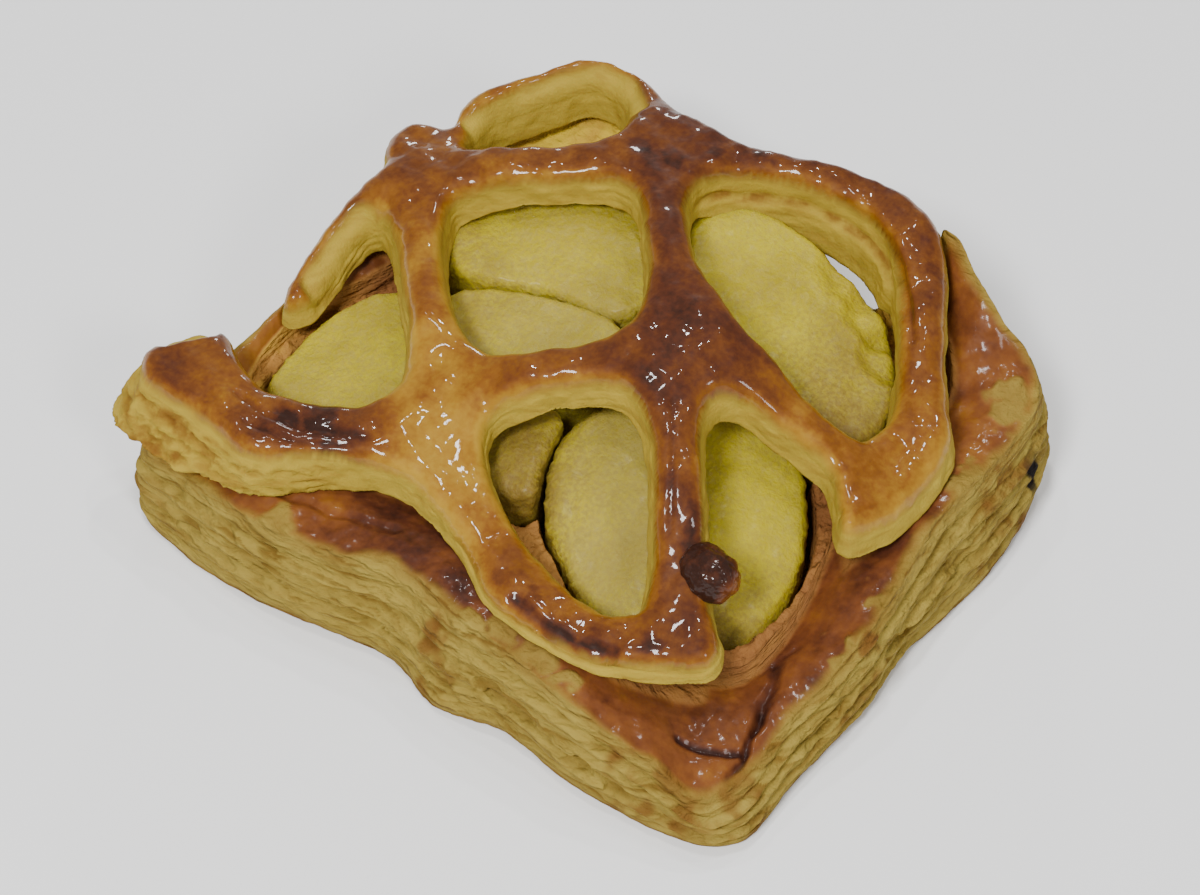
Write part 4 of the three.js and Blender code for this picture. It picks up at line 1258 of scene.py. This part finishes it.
# %% [markdown]
# ## Cooked apple
# Cooked apple is wet and lets light in, so its shadows are soft and yellow. Its cut face is finely
# grainy, paler where it is dry, and olive where it has browned. Painted shade darkens it too, on the
# lower parts of some faces and low down the sides in the gaps between the slices.

# %% Apple finish
FLESH = (0.42, 0.34, 0.011)
FLESH_DEEP = (0.31, 0.240, 0.010)
FLESH_PALE = (0.33, 0.255, 0.044)
FLESH_BROWN_AND_SHADE = (0.17, 0.105, 0.020)


def apple_finish(wire):
    rim, pale, brown, deep = (wire.painted(name) for name in ("rim", "pale", "brown", "deep"))
    cloud = wire.grain(12.0, 3.0)
    grain = wire.grain(0.7, 4.0).step(0.36, 0.66)
    flesh = cloud.step(0.35, 0.7).blend(FLESH, FLESH_DEEP)
    flesh = (pale * 0.75 + grain * 0.45 + (cloud - 0.5) * 0.6).step(0.0, 1.1).blend(flesh, FLESH_PALE)
    brown_and_shade_mix = (brown + (cloud - 0.5) * 0.5 + (grain - 0.5) * 0.15).step(0.15, 1.05)
    flesh = brown_and_shade_mix.blend(flesh, FLESH_BROWN_AND_SHADE)
    # deep lays painted shade low down the sides; rim darkens the rounded top edge
    skin = (deep * 0.35 + rim * (wire.grain(2.0) - 0.3) * 0.4).step(0.0, 1.0).blend(flesh, FLESH_BROWN_AND_SHADE)
    height = wire.grain(0.6, 4.0) * 0.9 + wire.grain(2.5) * 0.4
    bump = wire.node("ShaderNodeBump", {}, {"Height": height, "Strength": 0.5, "Distance": 0.0007})
    return {"Base Color": skin, "Roughness": grain.step(0, 1, 0.42, 0.6), "Normal": bump}


new_finish(
    "cooked_apple", list(slices.values()),
    {"Subsurface Weight": 0.35, "Subsurface Scale": 0.003, "Subsurface Radius": (1.0, 0.7, 0.25),
     "Coat Weight": 0.10, "Coat Roughness": 0.25, "Specular IOR Level": 0.12},
    apple_finish,
)

# %% [markdown]
# ## Floor
# The photograph shows the pie on plain white, so it stands on a pale dull sheet, large enough to
# run out of the picture on every side.

# %% Floor
FLOOR_HALF = 3.0                      # metres from the middle to each side


def new_floor():
    mesh = bpy.data.meshes.new("floor")
    corners = [(x * FLOOR_HALF, y * FLOOR_HALF, 0) for x, y in ((-1, -1), (1, -1), (1, 1), (-1, 1))]
    mesh.from_pydata(corners, [], [(0, 1, 2, 3)])
    floor = bpy.data.objects.new("floor", mesh)
    bpy.context.scene.collection.objects.link(floor)
    return floor


floor = new_floor()
new_finish("pale_floor", [floor], {"Base Color": (0.88, 0.88, 0.88, 1.0), "Roughness": 0.9}, lambda wire: {})

# %% [markdown]
# ## Light
# The glaze in the photograph is full of small sharp glints and has no haze over it. A large soft
# box would lay a milky sheen on a varnish like this, so every light here is a small box: a key and
# a fill on the camera's side, one overhead, one low behind, and three little lamps high behind the
# pie for more glints. An even white surround fills the shadows.

# %% Lights
LIGHTS = [                            # name, azimuth, elevation, distance, size, power
    ("key", 10, 52, 1.1, 0.22, 12.0),
    ("fill", 70, 38, 1.2, 0.25, 5.0),
    ("above", 300, 84, 1.1, 0.10, 3.0),
    ("back", 215, 14, 1.3, 0.15, 2.5),
    ("lamp_back", 190, 62, 1.3, 0.05, 2.0),
    ("lamp_left", 250, 66, 1.3, 0.05, 1.6),
    ("lamp_right", 160, 70, 1.3, 0.04, 1.2),
]
LIT_HEIGHT = 0.02                     # the lights look at a point inside the pie, this high
SURROUND = {"color": (1.0, 1.0, 1.0, 1.0), "strength": 0.30}


def toward(azimuth, elevation):
    """Direction out of the pie, with the azimuth in degrees round from its front."""
    a, e = math.radians(azimuth), math.radians(elevation)
    return Vector((math.sin(a) * math.cos(e), -math.cos(a) * math.cos(e), math.sin(e)))


def new_light(name, azimuth, elevation, distance, size, power):
    """A square box of light that looks at the pie."""
    lamp = bpy.data.lights.new(name, "AREA")
    lamp.energy = power
    lamp.size = size
    box = bpy.data.objects.new(name, lamp)
    out = toward(azimuth, elevation)
    box.location = out * distance + Vector((0, 0, LIT_HEIGHT))
    box.rotation_euler = out.to_track_quat("Z", "Y").to_euler()
    bpy.context.scene.collection.objects.link(box)
    return box


boxes = [new_light(*light) for light in LIGHTS]
world = bpy.data.worlds.new("surround")
world.use_nodes = True
world.node_tree.nodes["Background"].inputs["Color"].default_value = SURROUND["color"]
world.node_tree.nodes["Background"].inputs["Strength"].default_value = SURROUND["strength"]
bpy.context.scene.world = world
print("lights", {box.name: box.data.energy for box in boxes})

# %% [markdown]
# ## Camera
# The photograph looks down on the front right corner from close by. The angle, distance and lens
# were fitted so that the pie's outline falls where it does in the photograph.

# %% Camera
VIEW = {"azimuth": 37.0, "elevation": 50.0, "distance": 0.400, "lens": 80.0}
AIM = Vector((0.0039, -0.0047, 0.0157))


def new_camera():
    lens = bpy.data.cameras.new("camera")
    lens.lens = VIEW["lens"]
    lens.sensor_width = 36.0
    lens.clip_start = 0.01
    camera = bpy.data.objects.new("camera", lens)
    out = toward(VIEW["azimuth"], VIEW["elevation"])
    camera.location = AIM + out * VIEW["distance"]
    camera.rotation_euler = out.to_track_quat("Z", "Y").to_euler()
    bpy.context.scene.collection.objects.link(camera)
    bpy.context.scene.camera = camera
    return camera


camera = new_camera()
print("camera at", [round(v, 4) for v in camera.location])
